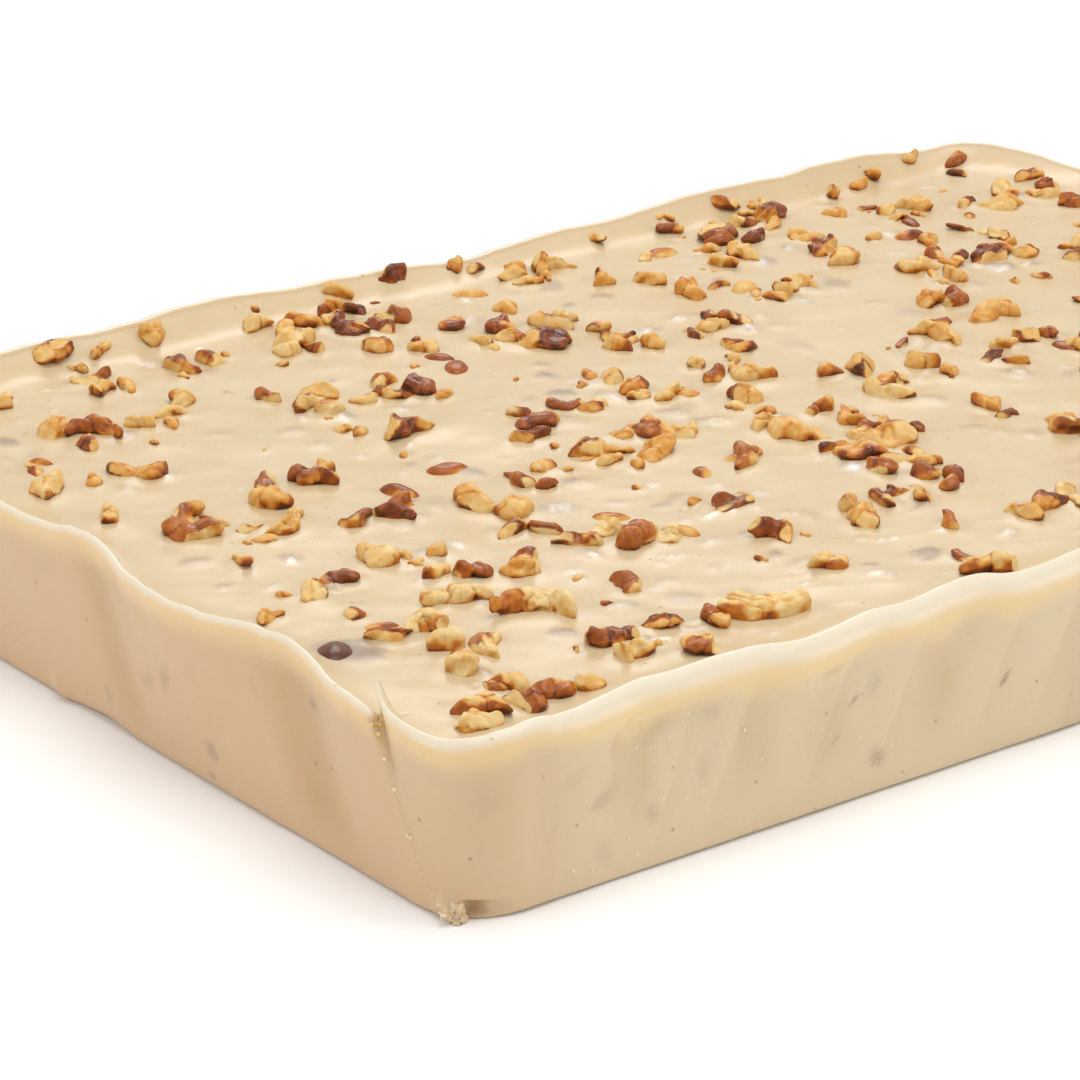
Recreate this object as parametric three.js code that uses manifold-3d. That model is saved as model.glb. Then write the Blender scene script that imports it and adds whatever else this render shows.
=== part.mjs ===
// A slab of pecan fudge as it comes out of a lined baking tray: one poured block whose raised rim followed
// the creases of the lining, with chopped pecan pieces set into its top.
// Millimetres, +Z up. The origin is the middle of the underside, +X runs along the long side, and the near
// corner, where the lining was folded over, is at -X -Y.

import * as THREE from 'three';
import { mergeVertices } from 'three/addons/utils/BufferGeometryUtils.js';
import Module from 'manifold-3d';

const wasm = await Module();
wasm.setup();

// Block
const slabLength = 330; // rim to rim along X, a 13 inch tray
const slabWidth = 229; // rim to rim along Y, a 9 inch tray
const rimHeight = 36.5; // mean height of the rim's crest
const pourLevel = 32; // level of the top inside the rim
const cornerRadius = 21; // in plan, at the rim
const cornerSpread = 3; // the corners stand out by this at the base, where they are sharper
const nearSpread = 0.8; // share of that which the near corner keeps at its rim
const wallLean = 0.9; // the underside is smaller by this on each side
const baseEdgeRadius = 1.4;
const wallLevels = [10, 20]; // heights where the wall is split, so that the creases can lean
const straightStep = 8.5; // along the perimeter between two sections
const cornerSteps = 7;

// Rim
const shoulderDrop = 5.5; // the rounded outer shoulder starts this far below the crest
const shoulderSteps = 3;
const lipInset = 0.6; // the inner edge of the crest is crisp
const lipDrop = 1.2;
const slopeRun = 11; // then the inner side runs down to the top in a soft hollow
const slopePower = 2.4;
const slopeSteps = [0.3, 0.65, 1];

// Creases that the lining left in the walls, counter-clockwise from the near long wall. A ripple is given by
// its pitch, its reach, which is how far it stands out at the rim, and the place of one of its peaks along
// the wall. The rim rises by lift for each mm of reach.
const walls = [
  { rimWidth: 5.6, lift: -0.5, ripples: [[61, 0.8, 59], [27, 0.5, 59]] },
  { rimWidth: 3.6, lift: -0.4, ripples: [[58, 1.9, 52], [31, 0.5, 12]] },
  { rimWidth: 5.2, lift: 1, ripples: [[170, 1.1, 39], [47, 0.4, 20]] },
  { rimWidth: 3.6, lift: -0.4, ripples: [[66, 2.3, 117], [29, 0.4, 100]] },
];
const rippleSkew = 0.4; // each ripple climbs faster than it falls
const creaseSlant = 0.45; // the creases run to the near corner by this for each mm down
const slantFade = 50; // length of wall over which the slant comes in

// Fold of the lining at the near corner: a slit in the rim that closes down the wall, a pointed horn beside
// it, and a rim that starts low at the horn and climbs round the corner
const foldFromCorner = 4.5; // at the rim, before the short wall ends
const foldHalfWidth = 0.7;
const foldDepthAtRim = 3.2;
const foldDepthOnWall = 0.35;
const foldOpensAt = 0.72; // share of the rim's height
const foldColumns = [-2.5, -1, 0, 1, 2.5]; // places of the sections there, in half widths
const hornInset = 1.8; // the horn curls in by this
const hornRise = 5;
const hornLength = 2.2;
const hornThinning = 0.6;
const hornFrom = 0.6; // it curls from this share of the rim's height up
const rimEndDrop = 1.8; // the short wall's rim sinks towards the slit
const rimEndLength = 5;
const cornerDip = 3.8; // the rim lies this much lower beside the horn
const dipClimb = [6, 36]; // and climbs back between these distances past the fold

// Place where a bit of the bottom edge broke out, at the near corner
const chip = { x: -157, y: -110.5, z: 1.4, length: 7, depth: 4.4, height: 5, turn: -35 };

// Chopped pecans
const pecanCount = 244;
const longestPecan = 13; // of the scattered ones
const shortestPecan = 5.5;
const pecanMargin = 7; // from the rim's outer face to the nearest end of a piece
const listedReach = 165; // nearer to the fold than this, along both sides together, all pieces are listed
const listedDepth = 78; // where they are also nearer than this to the long wall
const aloneShare = 0.5; // of the scattered pieces, those that lie apart; the rest lie against another
const touchingShare = 0.36; // distance of two touching pieces, as a share of their lengths together
const touchingSpread = 0.1;
const apartShare = 0.5;
const apartGap = 5;
const placeTries = 120;
const widthShares = [0.5, 0.8]; // of a piece's length
const heightShares = [0.66, 0.9]; // of its width
const pecanSides = 5;
const crownShare = 0.66; // width of a lump's upper edge as a share of its lower one
const crownLevel = 0.2; // level of that edge from the lump's middle, in half heights
const cornerReach = [0.84, 1.12]; // of the corners of a chopped lump
const sunkShare = 0.34; // of a piece's height
const pecanSeed = 19;

// The pieces nearest to the fold, as they lie: x, y, length, width and turn in degrees
const nearPecans = [
  [-110, -45, 6.5, 5, -60], [-101.5, -48, 8, 6, -20], [-120, -53, 13, 6.5, -26], [-113, -67, 14, 8, -52],
  [-133, -61, 7, 5.5, -5], [-141, -61, 8.5, 3.6, -15], [-134.5, -71, 7, 6, -40], [-139, -80, 8.5, 7, -50],
  [-130, -75, 8.5, 5.5, 28], [-138, -92, 7.5, 4.5, -45], [-147.5, -98, 10.5, 5.5, -48],
  [-140, -100.5, 8, 5.5, -58], [-133.5, -99.5, 8, 5, -18], [-152, -103, 7, 4.5, -20],
  [-126, -101, 5.5, 4.5, -15], [-112, -87, 7.5, 5, -62], [-107.5, -87, 5.5, 4, -60],
  [-111, -94.5, 7, 6, -62], [-90.5, -67, 7, 5.5, 60], [-98, -87, 8, 4.2, -16], [-89, -91, 6.5, 4.5, 44],
  [-79, -93, 15, 6.5, -24], [-100, -100.5, 6.5, 4.5, -37], [-75, -51, 8, 6, -20], [-84, -44, 8, 3.6, -64],
  [-69, -52, 5.5, 5, -30], [-77, -42, 6.5, 4.5, -10], [-51, -64, 7, 6, -70], [-54, -82, 6.5, 5.5, -30],
  [-31, -102, 8.5, 5.5, -38],
];

const longRun = slabLength - 2 * cornerRadius;
const shortRun = slabWidth - 2 * cornerRadius;
const cornerRun = Math.PI / 2 * cornerRadius;
const runs = [longRun, shortRun, longRun, shortRun];
const starts = runs.map((run, i) => runs.slice(0, i).reduce((sum, r) => sum + r + cornerRun, 0));
const perimeter = starts[3] + shortRun + cornerRun;
const foldAt = starts[3] + shortRun - foldFromCorner;

// Same draws on every run
function seededRandom(seed) {
  let state = seed * 7919 + 104729;
  const draw = () => {
    state = (state * 48271) % 2147483647;
    return state / 2147483647;
  };
  draw();
  draw();
  return draw;
}

const smooth = (low, high, value) => THREE.MathUtils.smoothstep(value, low, high);

// The wall that a place on the perimeter belongs to, half of each corner included, and how far along it lies
function wallAt(place) {
  const s = THREE.MathUtils.euclideanModulo(place, perimeter);
  if (s > perimeter - cornerRun / 2) {
    return { index: 0, along: s - perimeter };
  }
  const index = starts.findLastIndex((start) => s >= start - cornerRun / 2);
  return { index, along: s - starts[index] };
}

// Point and outward direction of the rim's plan outline
function outlineAt(place) {
  const s = THREE.MathUtils.euclideanModulo(place, perimeter);
  const index = starts.findLastIndex((start) => s >= start);
  const along = s - starts[index];
  const direction = new THREE.Vector2(1, 0).rotateAround(new THREE.Vector2(), index * Math.PI / 2);
  const outward = new THREE.Vector2(direction.y, -direction.x);
  const middle = new THREE.Vector2(longRun / 2 * Math.sign(direction.x + outward.x), 0);
  middle.y = shortRun / 2 * Math.sign(direction.y + outward.y);
  if (along <= runs[index]) {
    middle.addScaledVector(direction, along - runs[index]);
  } else {
    outward.rotateAround(new THREE.Vector2(), (along - runs[index]) / cornerRadius);
  }
  return { point: middle.addScaledVector(outward, cornerRadius), outward };
}

// How far a corner stands out at a share of the rim's height
function spreadAt(place, high) {
  const s = THREE.MathUtils.euclideanModulo(place, perimeter);
  const index = starts.findLastIndex((start) => s >= start);
  const turned = Math.max(0, s - starts[index] - runs[index]) / cornerRun;
  const lost = index === 3 ? 1 - nearSpread : 1;
  return cornerSpread * Math.sin(Math.PI * turned) ** 2 * (1 - lost * high);
}

// How far the wall stands out at the rim
function rippleAt(place) {
  const { index, along } = wallAt(place);
  const run = runs[index];
  const fade = smooth(-cornerRun / 2, 0, along) * (1 - smooth(run, run + cornerRun / 2, along));
  const sum = walls[index].ripples.reduce((total, [pitch, reach, peak]) => {
    const phase = 2 * Math.PI * (along - peak) / pitch;
    return total + reach * Math.cos(phase - rippleSkew * (1 - Math.cos(phase)));
  }, 0);
  return sum * fade;
}

// How much the creases lean: along the perimeter for each mm down
function slantAt(place) {
  const s = THREE.MathUtils.euclideanModulo(place, perimeter);
  const onLong = -smooth(0, slantFade, s) * (1 - smooth(longRun - slantFade, longRun, s));
  const onShort = smooth(starts[3], starts[3] + slantFade, s) * (1 - smooth(foldAt, perimeter, s));
  return creaseSlant * (onLong + onShort);
}

// Height, width and inward curl of the rim at a place on the perimeter
function rimAt(place) {
  const { index, along } = wallAt(place);
  const before = walls[(index + 3) % 4].rimWidth;
  const after = walls[(index + 1) % 4].rimWidth;
  const own = walls[index].rimWidth;
  const fromBefore = 0.5 - 0.5 * smooth(-cornerRun / 2, cornerRun / 2, along);
  const toAfter = 0.5 * smooth(runs[index] - cornerRun / 2, runs[index] + cornerRun / 2, along);
  const rim = {
    width: own + (before - own) * fromBefore + (after - own) * toAfter,
    height: rimHeight + walls[index].lift * rippleAt(place),
    curl: 0,
  };
  const pastFold = place - foldAt;
  if (pastFold > 0) {
    const horn = Math.exp(-pastFold / hornLength);
    rim.curl = hornInset * horn;
    rim.height += hornRise * horn - cornerDip * (1 - smooth(...dipClimb, pastFold));
    rim.width *= 1 - hornThinning * horn;
  } else {
    rim.height -= rimEndDrop * Math.exp(pastFold / rimEndLength);
  }
  return rim;
}

// Section of the slab's edge as inset and height, from the underside up the wall and over the rim to the top
function sectionAt(place) {
  const rim = rimAt(place);
  const slit = Math.abs(place - foldAt) < foldHalfWidth / 2;
  const bevel = baseEdgeRadius * (1 - Math.SQRT1_2);
  const section = [
    [wallLean + baseEdgeRadius, 0],
    [wallLean + bevel, bevel],
    [wallLean, baseEdgeRadius],
    ...wallLevels.map((z) => [wallLean * (1 - z / rimHeight), z]),
  ];
  for (let step = 0; step <= shoulderSteps; step++) {
    const angle = step / shoulderSteps * Math.PI / 2;
    section.push([rim.width * (1 - Math.cos(angle)), rim.height - shoulderDrop * (1 - Math.sin(angle))]);
  }
  const lipHeight = slit ? pourLevel + lipDrop : rim.height - lipDrop;
  section.push([rim.width + lipInset, lipHeight]);
  for (const step of slopeSteps) {
    const rise = (lipHeight - pourLevel) * (1 - step) ** slopePower;
    section.push([rim.width + lipInset + slopeRun * step, pourLevel + rise]);
  }
  const foldDepth = (high) => foldDepthOnWall + foldDepthAtRim * smooth(foldOpensAt, 1, high);
  return section.map(([inset, z], level) => {
    const high = z / rimHeight;
    const curled = inset + rim.curl * smooth(hornFrom, 1, high);
    const onWall = level > 0 && level < section.length - slopeSteps.length;
    return slit && onWall ? [curled + foldDepth(high), Math.min(z, lipHeight + lipDrop)] : [curled, z];
  });
}

// Places on the perimeter where the section is set: even along the walls, closer at the fold
function columnPlaces() {
  const places = [];
  runs.forEach((run, i) => {
    const count = Math.round(run / straightStep);
    for (let k = 0; k < count; k++) {
      places.push(starts[i] + run * k / count);
    }
    for (let k = 0; k < cornerSteps; k++) {
      places.push(starts[i] + run + cornerRun * k / cornerSteps);
    }
  });
  const apart = places.filter((place) => Math.abs(place - foldAt) > straightStep / 2);
  const fold = foldColumns.map((share) => foldAt + share * foldHalfWidth);
  return [...apart, ...fold].sort((a, b) => a - b);
}

// The poured block: a ring of points for each level of the section, closed by a flat underside and a flat top
function blockGeometry() {
  const places = columnPlaces();
  const columns = places.map((place) => {
    const slant = slantAt(place);
    const ripple = rippleAt(place);
    return sectionAt(place).map(([inset, z]) => {
      const high = Math.min(1, z / rimHeight);
      const shifted = place + slant * (rimHeight - z);
      const { point, outward } = outlineAt(shifted);
      point.addScaledVector(outward, ripple * high + spreadAt(shifted, high) - inset);
      return new THREE.Vector3(point.x, point.y, z);
    });
  });
  const levels = columns[0].length;
  const count = columns.length;
  const triangles = [];
  for (let k = 0; k < count; k++) {
    const next = (k + 1) % count;
    for (let level = 0; level < levels - 1; level++) {
      const here = k * levels + level;
      const beside = next * levels + level;
      triangles.push(here, beside, beside + 1, here, beside + 1, here + 1);
    }
  }
  for (const [level, up] of [[0, false], [levels - 1, true]]) {
    const outline = columns.map((column) => new THREE.Vector2(column[level].x, column[level].y));
    for (const [a, b, c] of THREE.ShapeUtils.triangulateShape(outline, [])) {
      const face = [a, b, c].map((k) => k * levels + level);
      triangles.push(...(up ? face : face.reverse()));
    }
  }
  const geometry = new THREE.BufferGeometry().setFromPoints(columns.flat());
  return geometry.setIndex(triangles);
}

// Lies of the pecan pieces: the listed ones, then some apart and some beside another, each from large to small
function placePecans() {
  const random = seededRandom(pecanSeed);
  const drawWidth = (length) => length * THREE.MathUtils.lerp(...widthShares, random());
  const pieces = nearPecans.map(([x, y, length, width, turn]) => ({ x, y, length, width, turn }));
  const scatteredCount = pecanCount - pieces.length;
  const aloneCount = Math.round(scatteredCount * aloneShare);
  const scatter = (count, beside) => {
    const hosts = pieces.slice(nearPecans.length);
    for (let i = 0; i < count; i++) {
      const length = longestPecan - (longestPecan - shortestPecan) * Math.sqrt(i / (count - 1));
      const width = drawWidth(length);
      const margin = pecanMargin + length / 2;
      for (let tries = 0; tries < placeTries; tries++) {
        const across = random();
        const along = random();
        const turn = 180 * random();
        let x = (across - 0.5) * slabLength;
        let y = (along - 0.5) * slabWidth;
        if (beside) {
          const host = hosts[Math.floor(random() * hosts.length)];
          const reach = (touchingShare + touchingSpread * across) * (length + host.length);
          x = host.x + reach * Math.cos(2 * Math.PI * along);
          y = host.y + reach * Math.sin(2 * Math.PI * along);
        }
        const nearFold = x + y + (slabLength + slabWidth) / 2 < listedReach;
        const listed = nearFold && y + slabWidth / 2 < listedDepth;
        const inside = Math.abs(x) < slabLength / 2 - margin && Math.abs(y) < slabWidth / 2 - margin;
        const clear = pieces.every((other) => {
          const lengths = length + other.length;
          const least = beside ? touchingShare * lengths : apartShare * lengths + apartGap;
          return Math.hypot(x - other.x, y - other.y) >= least;
        });
        if (inside && clear && !listed) {
          pieces.push({ x, y, length, width, turn });
          break;
        }
      }
    }
  };
  scatter(aloneCount, false);
  scatter(scatteredCount - aloneCount, true);
  return pieces;
}

// Height of the top at a point, with the hollow that rises to the rim
function topAt(x, y) {
  const fromEdge = Math.min(slabLength / 2 - Math.abs(x), slabWidth / 2 - Math.abs(y));
  const step = THREE.MathUtils.clamp((fromEdge - walls[0].rimWidth) / slopeRun, 0, 1);
  return pourLevel + (rimHeight - lipDrop - pourLevel) * (1 - step) ** slopePower;
}

// One chopped piece: an uneven lump with few sides, pressed into the top
function pecanGeometry({ x, y, length, width, turn }, index) {
  const random = seededRandom(pecanSeed + 1 + index);
  const height = width * THREE.MathUtils.lerp(...heightShares, random());
  const lump = bare(new THREE.CylinderGeometry(crownShare, 1, 2, pecanSides).rotateX(Math.PI / 2));
  const position = lump.attributes.position;
  const corner = new THREE.Vector3();
  for (let i = 0; i < position.count; i++) {
    corner.fromBufferAttribute(position, i);
    const onCrown = corner.z > 0 && Math.hypot(corner.x, corner.y) > crownShare / 2;
    corner.z = onCrown ? crownLevel : corner.z;
    corner.multiplyScalar(THREE.MathUtils.lerp(...cornerReach, random()));
    position.setXYZ(i, corner.x, corner.y, corner.z);
  }
  lump.scale(length / 2, width / 2, height / 2);
  lump.rotateZ(THREE.MathUtils.degToRad(turn));
  return lump.translate(x, y, topAt(x, y) + height * (0.5 - sunkShare));
}

function chipGeometry() {
  const lump = bare(new THREE.IcosahedronGeometry(1, 0));
  lump.scale(chip.length / 2, chip.depth / 2, chip.height / 2);
  lump.rotateZ(THREE.MathUtils.degToRad(chip.turn));
  return lump.translate(chip.x, chip.y, chip.z);
}

// Geometry with position alone and its shared vertices merged
function bare(geometry) {
  geometry.deleteAttribute('normal');
  geometry.deleteAttribute('uv');
  return mergeVertices(geometry);
}

function solidFrom(geometry) {
  const vertProperties = new Float32Array(geometry.attributes.position.array);
  const triVerts = new Uint32Array(geometry.index.array);
  return new wasm.Manifold(new wasm.Mesh({ numProp: 3, vertProperties, triVerts }));
}

function geometryFrom(solid) {
  const mesh = solid.getMesh();
  const geometry = new THREE.BufferGeometry();
  geometry.setAttribute('position', new THREE.BufferAttribute(mesh.vertProperties, 3));
  geometry.setIndex(new THREE.BufferAttribute(mesh.triVerts, 1));
  geometry.computeVertexNormals();
  return geometry;
}

const block = solidFrom(blockGeometry()).subtract(solidFrom(chipGeometry()));
const topping = placePecans().map((piece, index) => solidFrom(pecanGeometry(piece, index)));
const slab = topping.reduce((whole, piece) => whole.add(piece), block);

const fudge = new THREE.MeshStandardMaterial({ color: 0xe6cda6, roughness: 0.4, metalness: 0 });
const fudgeSlab = new THREE.Mesh(geometryFrom(slab), fudge);
fudgeSlab.name = 'fudge_slab';

const group = new THREE.Group();
group.add(fudgeSlab);

export default group;
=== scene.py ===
import math
import bpy
import numpy as np
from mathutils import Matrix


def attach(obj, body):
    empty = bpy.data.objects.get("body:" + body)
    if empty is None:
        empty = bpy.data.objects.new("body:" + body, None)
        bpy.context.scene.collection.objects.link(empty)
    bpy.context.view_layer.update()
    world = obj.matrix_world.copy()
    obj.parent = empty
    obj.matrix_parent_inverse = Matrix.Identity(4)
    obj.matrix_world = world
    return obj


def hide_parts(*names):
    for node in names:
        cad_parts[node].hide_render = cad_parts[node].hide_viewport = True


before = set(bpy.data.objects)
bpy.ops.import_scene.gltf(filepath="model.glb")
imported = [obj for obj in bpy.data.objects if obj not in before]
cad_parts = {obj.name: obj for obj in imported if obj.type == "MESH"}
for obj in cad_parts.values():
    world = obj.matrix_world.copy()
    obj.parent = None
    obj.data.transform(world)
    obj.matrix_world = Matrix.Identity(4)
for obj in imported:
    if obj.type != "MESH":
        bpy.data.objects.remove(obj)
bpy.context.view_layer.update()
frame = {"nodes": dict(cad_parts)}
mm = 0.001  # the shapes below are worked out in mm
print("frame loaded, solids:", ", ".join(frame["nodes"]))

# the poured block, in mm, with the sizes that its solid has
slab = {
    "length": 330,
    "width": 229,
    "rimHeight": 36.5,
    "pourLevel": 32,
    "cornerRadius": 21,
    "cornerSpread": 3,  # the corners are sharper at the base
    "nearSpread": 0.8,  # and the near one is at its rim too
    "wallLean": 0.9,
    "baseEdge": 1.7,
    "lipInset": 0.6,
    "slopeRun": 11,
    "slopePower": 2.4,
    "rippleSkew": 0.4,
    "longSlant": 0.45,
    "shortSlant": 0.5,
    "slantFade": 50,
    "columnsAlong": 276,  # of the mesh, on a long and a short side
    "columnsAcross": 180,
    "closerAtCorner": (0.9, 110),  # how much closer the columns are there, and over how many mm
    "closerAtFold": (5, 2.4),
    "closerAtFlute": (1.5, 1.2),
    "footShare": 0.14,  # of the wall's height, with closer rows
    "footRows": 8,
    "wallRows": 17,
    "shoulderRows": 9,
    "slopeRows": 8,
}

# creases of the lining, counter-clockwise from the near long wall: pitch, reach and place of a peak of each
# ripple; the bands are the depths under the crest where its painted white highlight and its painted golden
# glow of light through the rim end, then the full share of that glow; tint is how brown the painted shade in
# the hollows is
walls = [
    {"rimWidth": 4.2, "drop": 0.9, "shoulder": 6.5, "lipDrop": 1.2, "highlightBand": 4.6, "glowBand": 8.4,
     "jitter": 0.08, "glowFull": 0.45, "innerHighlight": 1, "tint": 1, "pale": 1, "sideShade": 0.05,
     "lift": -0.5, "ripples": [(61, 0.8, 59), (27, 0.5, 59)]},
    {"rimWidth": 2.4, "drop": 0, "shoulder": 3, "lipDrop": 0.6, "highlightBand": 1.8, "glowBand": 5,
     "jitter": 0.2, "glowFull": 0.3, "innerHighlight": 0.6, "tint": 0.35, "pale": 0, "sideShade": 1,
     "lift": -0.4, "ripples": [(58, 1.9, 52), (31, 0.5, 12)]},
    {"rimWidth": 5, "drop": 0, "shoulder": 5, "lipDrop": 0.6, "highlightBand": 1.8, "glowBand": 5,
     "jitter": 0.2, "glowFull": 0.3, "innerHighlight": 0.25, "tint": 0.6, "pale": 1, "sideShade": 0.3,
     "lift": 1, "ripples": [(170, 1.1, 39), (47, 0.4, 20)]},
    {"rimWidth": 1.2, "drop": 0, "shoulder": 2, "lipDrop": 0.5, "highlightBand": 1.5, "glowBand": 7,
     "jitter": 0.3, "glowFull": 0.1, "innerHighlight": 0.5, "tint": 1, "pale": 0, "sideShade": 1,
     "lift": -0.4, "ripples": []},
]

# the short near wall's rim follows kinks of the lining: mm along it and how far it stands out
shortKinks = [
    (-20, 0), (14, -1), (30, 0.8), (45, 1.6), (59, 1.6), (75, 0.3), (83, -0.8), (87.5, -1.6), (93, -0.8),
    (103, 1.9), (109, 2.7), (116, 3.1), (122, 2.8), (132, 1.4), (141, -0.6), (152, -1.9), (158, -1.4),
    (170, 1), (177, 0.9), (183, 0.6), (190, 0.3),
]
kinkSoftness = 2.4  # mm over which each kink is rounded

# the fold of the lining at the near corner
fold = {
    "fromCorner": 4.5,
    "gapAtRim": 0.9,  # half width of the slit
    "gapOnWall": 0.4,
    "gapBottom": 32.4,
    "depthAtRim": 1,
    "depthOnWall": 0.14,
    "opensAt": 0.72,
    "hornInset": 1.8,
    "hornRise": 5.7,
    "hornTip": (0.52, 0.5),  # its thin tip and its wider base: share of the rise, and length
    "hornBase": (0.48, 4.2),
    "hornLean": 0.1,  # the tip stands behind the end of the short wall's rim
    "leanFrom": (33, 37),
    "hornThinning": 0.65,
    "thinLength": 9,
    "hornSteep": 9,  # the slope behind the horn falls off faster
    "hornFrom": 0.6,
    "dip": 3,  # the rim starts low beside the horn and climbs round the corner
    "dipClimb": (13, 38),
    "endDrop": 2.6,
    "endLength": 9,
    "endThinning": 0.5,
    "kinkEnd": (-1.8, 0.4),  # the kinks of the short rim run out here
    "slitShadeFrom": (25, 31.5),  # painted shade makes the slit browner between these heights
    "slitShadeTo": (32.6, 34),
}

longRun = slab["length"] - 2 * slab["cornerRadius"]
shortRun = slab["width"] - 2 * slab["cornerRadius"]
cornerRun = math.pi / 2 * slab["cornerRadius"]
runs = np.array([longRun, shortRun, longRun, shortRun])
starts = np.concatenate([[0], np.cumsum(runs + cornerRun)[:3]])
perimeter = starts[3] + shortRun + cornerRun
foldAt = starts[3] + shortRun - fold["fromCorner"]
slitAt = foldAt - fold["gapAtRim"]


def seededRandom(seed):
    # same draws as the solid's source, so that the pieces lie where its lumps are
    state = [seed * 7919 + 104729]

    def draw():
        state[0] = state[0] * 48271 % 2147483647
        return state[0] / 2147483647

    draw()
    draw()
    return draw


def smooth(low, high, value):
    t = np.clip((value - low) / (high - low), 0, 1)
    return t * t * (3 - 2 * t)


def bump(value, middle, spread):
    return np.exp(-(((value - middle) / spread) ** 2))


def noise(points, pitch, seed):
    # smooth random field from -1 to 1 over 2D or 3D points, with one cell every pitch
    cells = np.asarray(points, float) / pitch
    base = np.floor(cells).astype(np.int64)
    part = cells - base
    part = part**3 * (part * (part * 6 - 15) + 10)
    total = np.zeros(cells.shape[:-1])
    for corner in np.ndindex(*(2,) * cells.shape[-1]):
        key = np.full(total.shape, seed * 69069 + 12345, np.int64)
        weight = np.ones(total.shape)
        for axis, step in enumerate(corner):
            key = (key ^ (base[..., axis] + step)) * 668265263 & 0xFFFFFFFF
            key = (key ^ (key >> 15)) * 374761393 & 0xFFFFFFFF
            weight = weight * (part[..., axis] if step else 1 - part[..., axis])
        total += weight * ((key ^ (key >> 13)) & 0xFFFF) / 0xFFFF
    return 2 * total - 1


def wallAt(place):
    s = np.mod(place, perimeter)
    s = np.where(s > perimeter - cornerRun / 2, s - perimeter, s)
    index = np.searchsorted(starts - cornerRun / 2, s, side="right") - 1
    return index, s - starts[index]


def outlineAt(place):
    # point and outward direction of the rim's plan outline
    s = np.mod(place, perimeter)
    index = np.searchsorted(starts, s, side="right") - 1
    along = s - starts[index] - runs[index]
    dirX, dirY = np.round(np.cos(index * np.pi / 2)), np.round(np.sin(index * np.pi / 2))
    outX, outY = dirY, -dirX
    straight = np.minimum(along, 0)
    turn = np.maximum(along, 0) / slab["cornerRadius"]
    normalX = outX * np.cos(turn) - outY * np.sin(turn)
    normalY = outX * np.sin(turn) + outY * np.cos(turn)
    x = longRun / 2 * np.sign(dirX + outX) + dirX * straight + normalX * slab["cornerRadius"]
    y = shortRun / 2 * np.sign(dirY + outY) + dirY * straight + normalY * slab["cornerRadius"]
    return x, y, normalX, normalY


def spreadAt(place, high):
    s = np.mod(place, perimeter)
    index = np.searchsorted(starts, s, side="right") - 1
    turned = np.maximum(0, s - starts[index] - runs[index]) / cornerRun
    lost = np.where(index == 3, 1 - slab["nearSpread"], 1)
    return slab["cornerSpread"] * np.sin(np.pi * turned) ** 2 * (1 - lost * high)


def rippleAt(place):
    index, along = wallAt(place)
    run = runs[index]
    fade = smooth(-cornerRun / 2, 0, along) * (1 - smooth(run, run + cornerRun / 2, along))
    total = np.zeros(place.shape)
    for i, wall in enumerate(walls):
        for pitch, reach, peak in wall["ripples"]:
            phase = 2 * np.pi * (along - peak) / pitch
            wave = reach * np.cos(phase - slab["rippleSkew"] * (1 - np.cos(phase)))
            total += np.where(index == i, wave, 0)
    kinkPlaces, kinkReaches = np.array(shortKinks).T
    steps = (-kinkSoftness, 0, kinkSoftness)
    kinked = sum(np.interp(along + step, kinkPlaces, kinkReaches) for step in steps) / len(steps)
    total += np.where(index == 3, kinked * (1 - smooth(*fold["kinkEnd"], place - foldAt)), 0)
    return total * fade


def slantAt(place):
    s = np.mod(place, perimeter)
    run, fade = longRun, slab["slantFade"]
    onLong = -smooth(0, fade, s) * (1 - smooth(run - fade, run, s))
    onShort = smooth(starts[3], starts[3] + fade, s) * (1 - smooth(foldAt, perimeter, s))
    return slab["longSlant"] * onLong + slab["shortSlant"] * onShort


def ofWall(label, place):
    # a wall's value, blended into its neighbours' round the corners
    index, along = wallAt(place)
    values = np.array([wall[label] for wall in walls], float)
    own = values[index]
    fromBefore = 0.5 - 0.5 * smooth(-cornerRun / 2, cornerRun / 2, along)
    toAfter = 0.5 * smooth(runs[index] - cornerRun / 2, runs[index] + cornerRun / 2, along)
    return own + (values[index - 1] - own) * fromBefore + (values[(index + 1) % 4] - own) * toAfter


def rimAt(place):
    # share of the horn in the rim, share of the rim's end before the fold, and the rim's height
    lifts = np.array([wall["lift"] for wall in walls])
    height = slab["rimHeight"] - ofWall("drop", place) + lifts[wallAt(place)[0]] * rippleAt(place)
    past = place - foldAt
    tapers = (fold["hornTip"], fold["hornBase"])
    horn = sum(share * np.exp(-np.maximum(past, 0) / length) for share, length in tapers)
    horn = horn * np.clip(1 + past / fold["gapAtRim"], 0, 1)
    end = np.where(past > 0, 0, np.exp(np.minimum(past, 0) / fold["endLength"])) * (1 - horn)
    dip = fold["dip"] * (1 - smooth(*fold["dipClimb"], past)) * np.where(past > 0, 1, horn)
    return horn, end, height + fold["hornRise"] * horn - fold["endDrop"] * end - dip


def addMesh(name, points, faces, material, attributes):
    # mesh in metres from points in mm, with one number for each point in each attribute
    mesh = bpy.data.meshes.new(name)
    mesh.from_pydata((np.asarray(points) * mm).tolist(), [], faces)
    mesh.materials.append(material)
    for label, values in attributes.items():
        layer = mesh.attributes.new(label, "FLOAT", "POINT")
        layer.data.foreach_set("value", np.asarray(values, np.float32).ravel())
    mesh.shade_smooth()
    mesh.update()
    piece = bpy.data.objects.new(name, mesh)
    bpy.context.scene.collection.objects.link(piece)
    return piece


# materials

mixFactor, mixA, mixB, mixResult = 0, 6, 7, 2  # a mix node's colour sockets


def linear(hexColour):
    shares = [int(hexColour[i:i + 2], 16) / 255 for i in (0, 2, 4)]
    return tuple(c / 12.92 if c <= 0.04045 else ((c + 0.055) / 1.055) ** 2.4 for c in shares) + (1,)


def setInputs(tree, made, inputs):
    # links from other nodes, and constants straight on the sockets
    for socket, value in inputs.items():
        if isinstance(value, bpy.types.NodeSocket):
            tree.links.new(value, made.inputs[socket])
        else:
            made.inputs[socket].default_value = value


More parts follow.
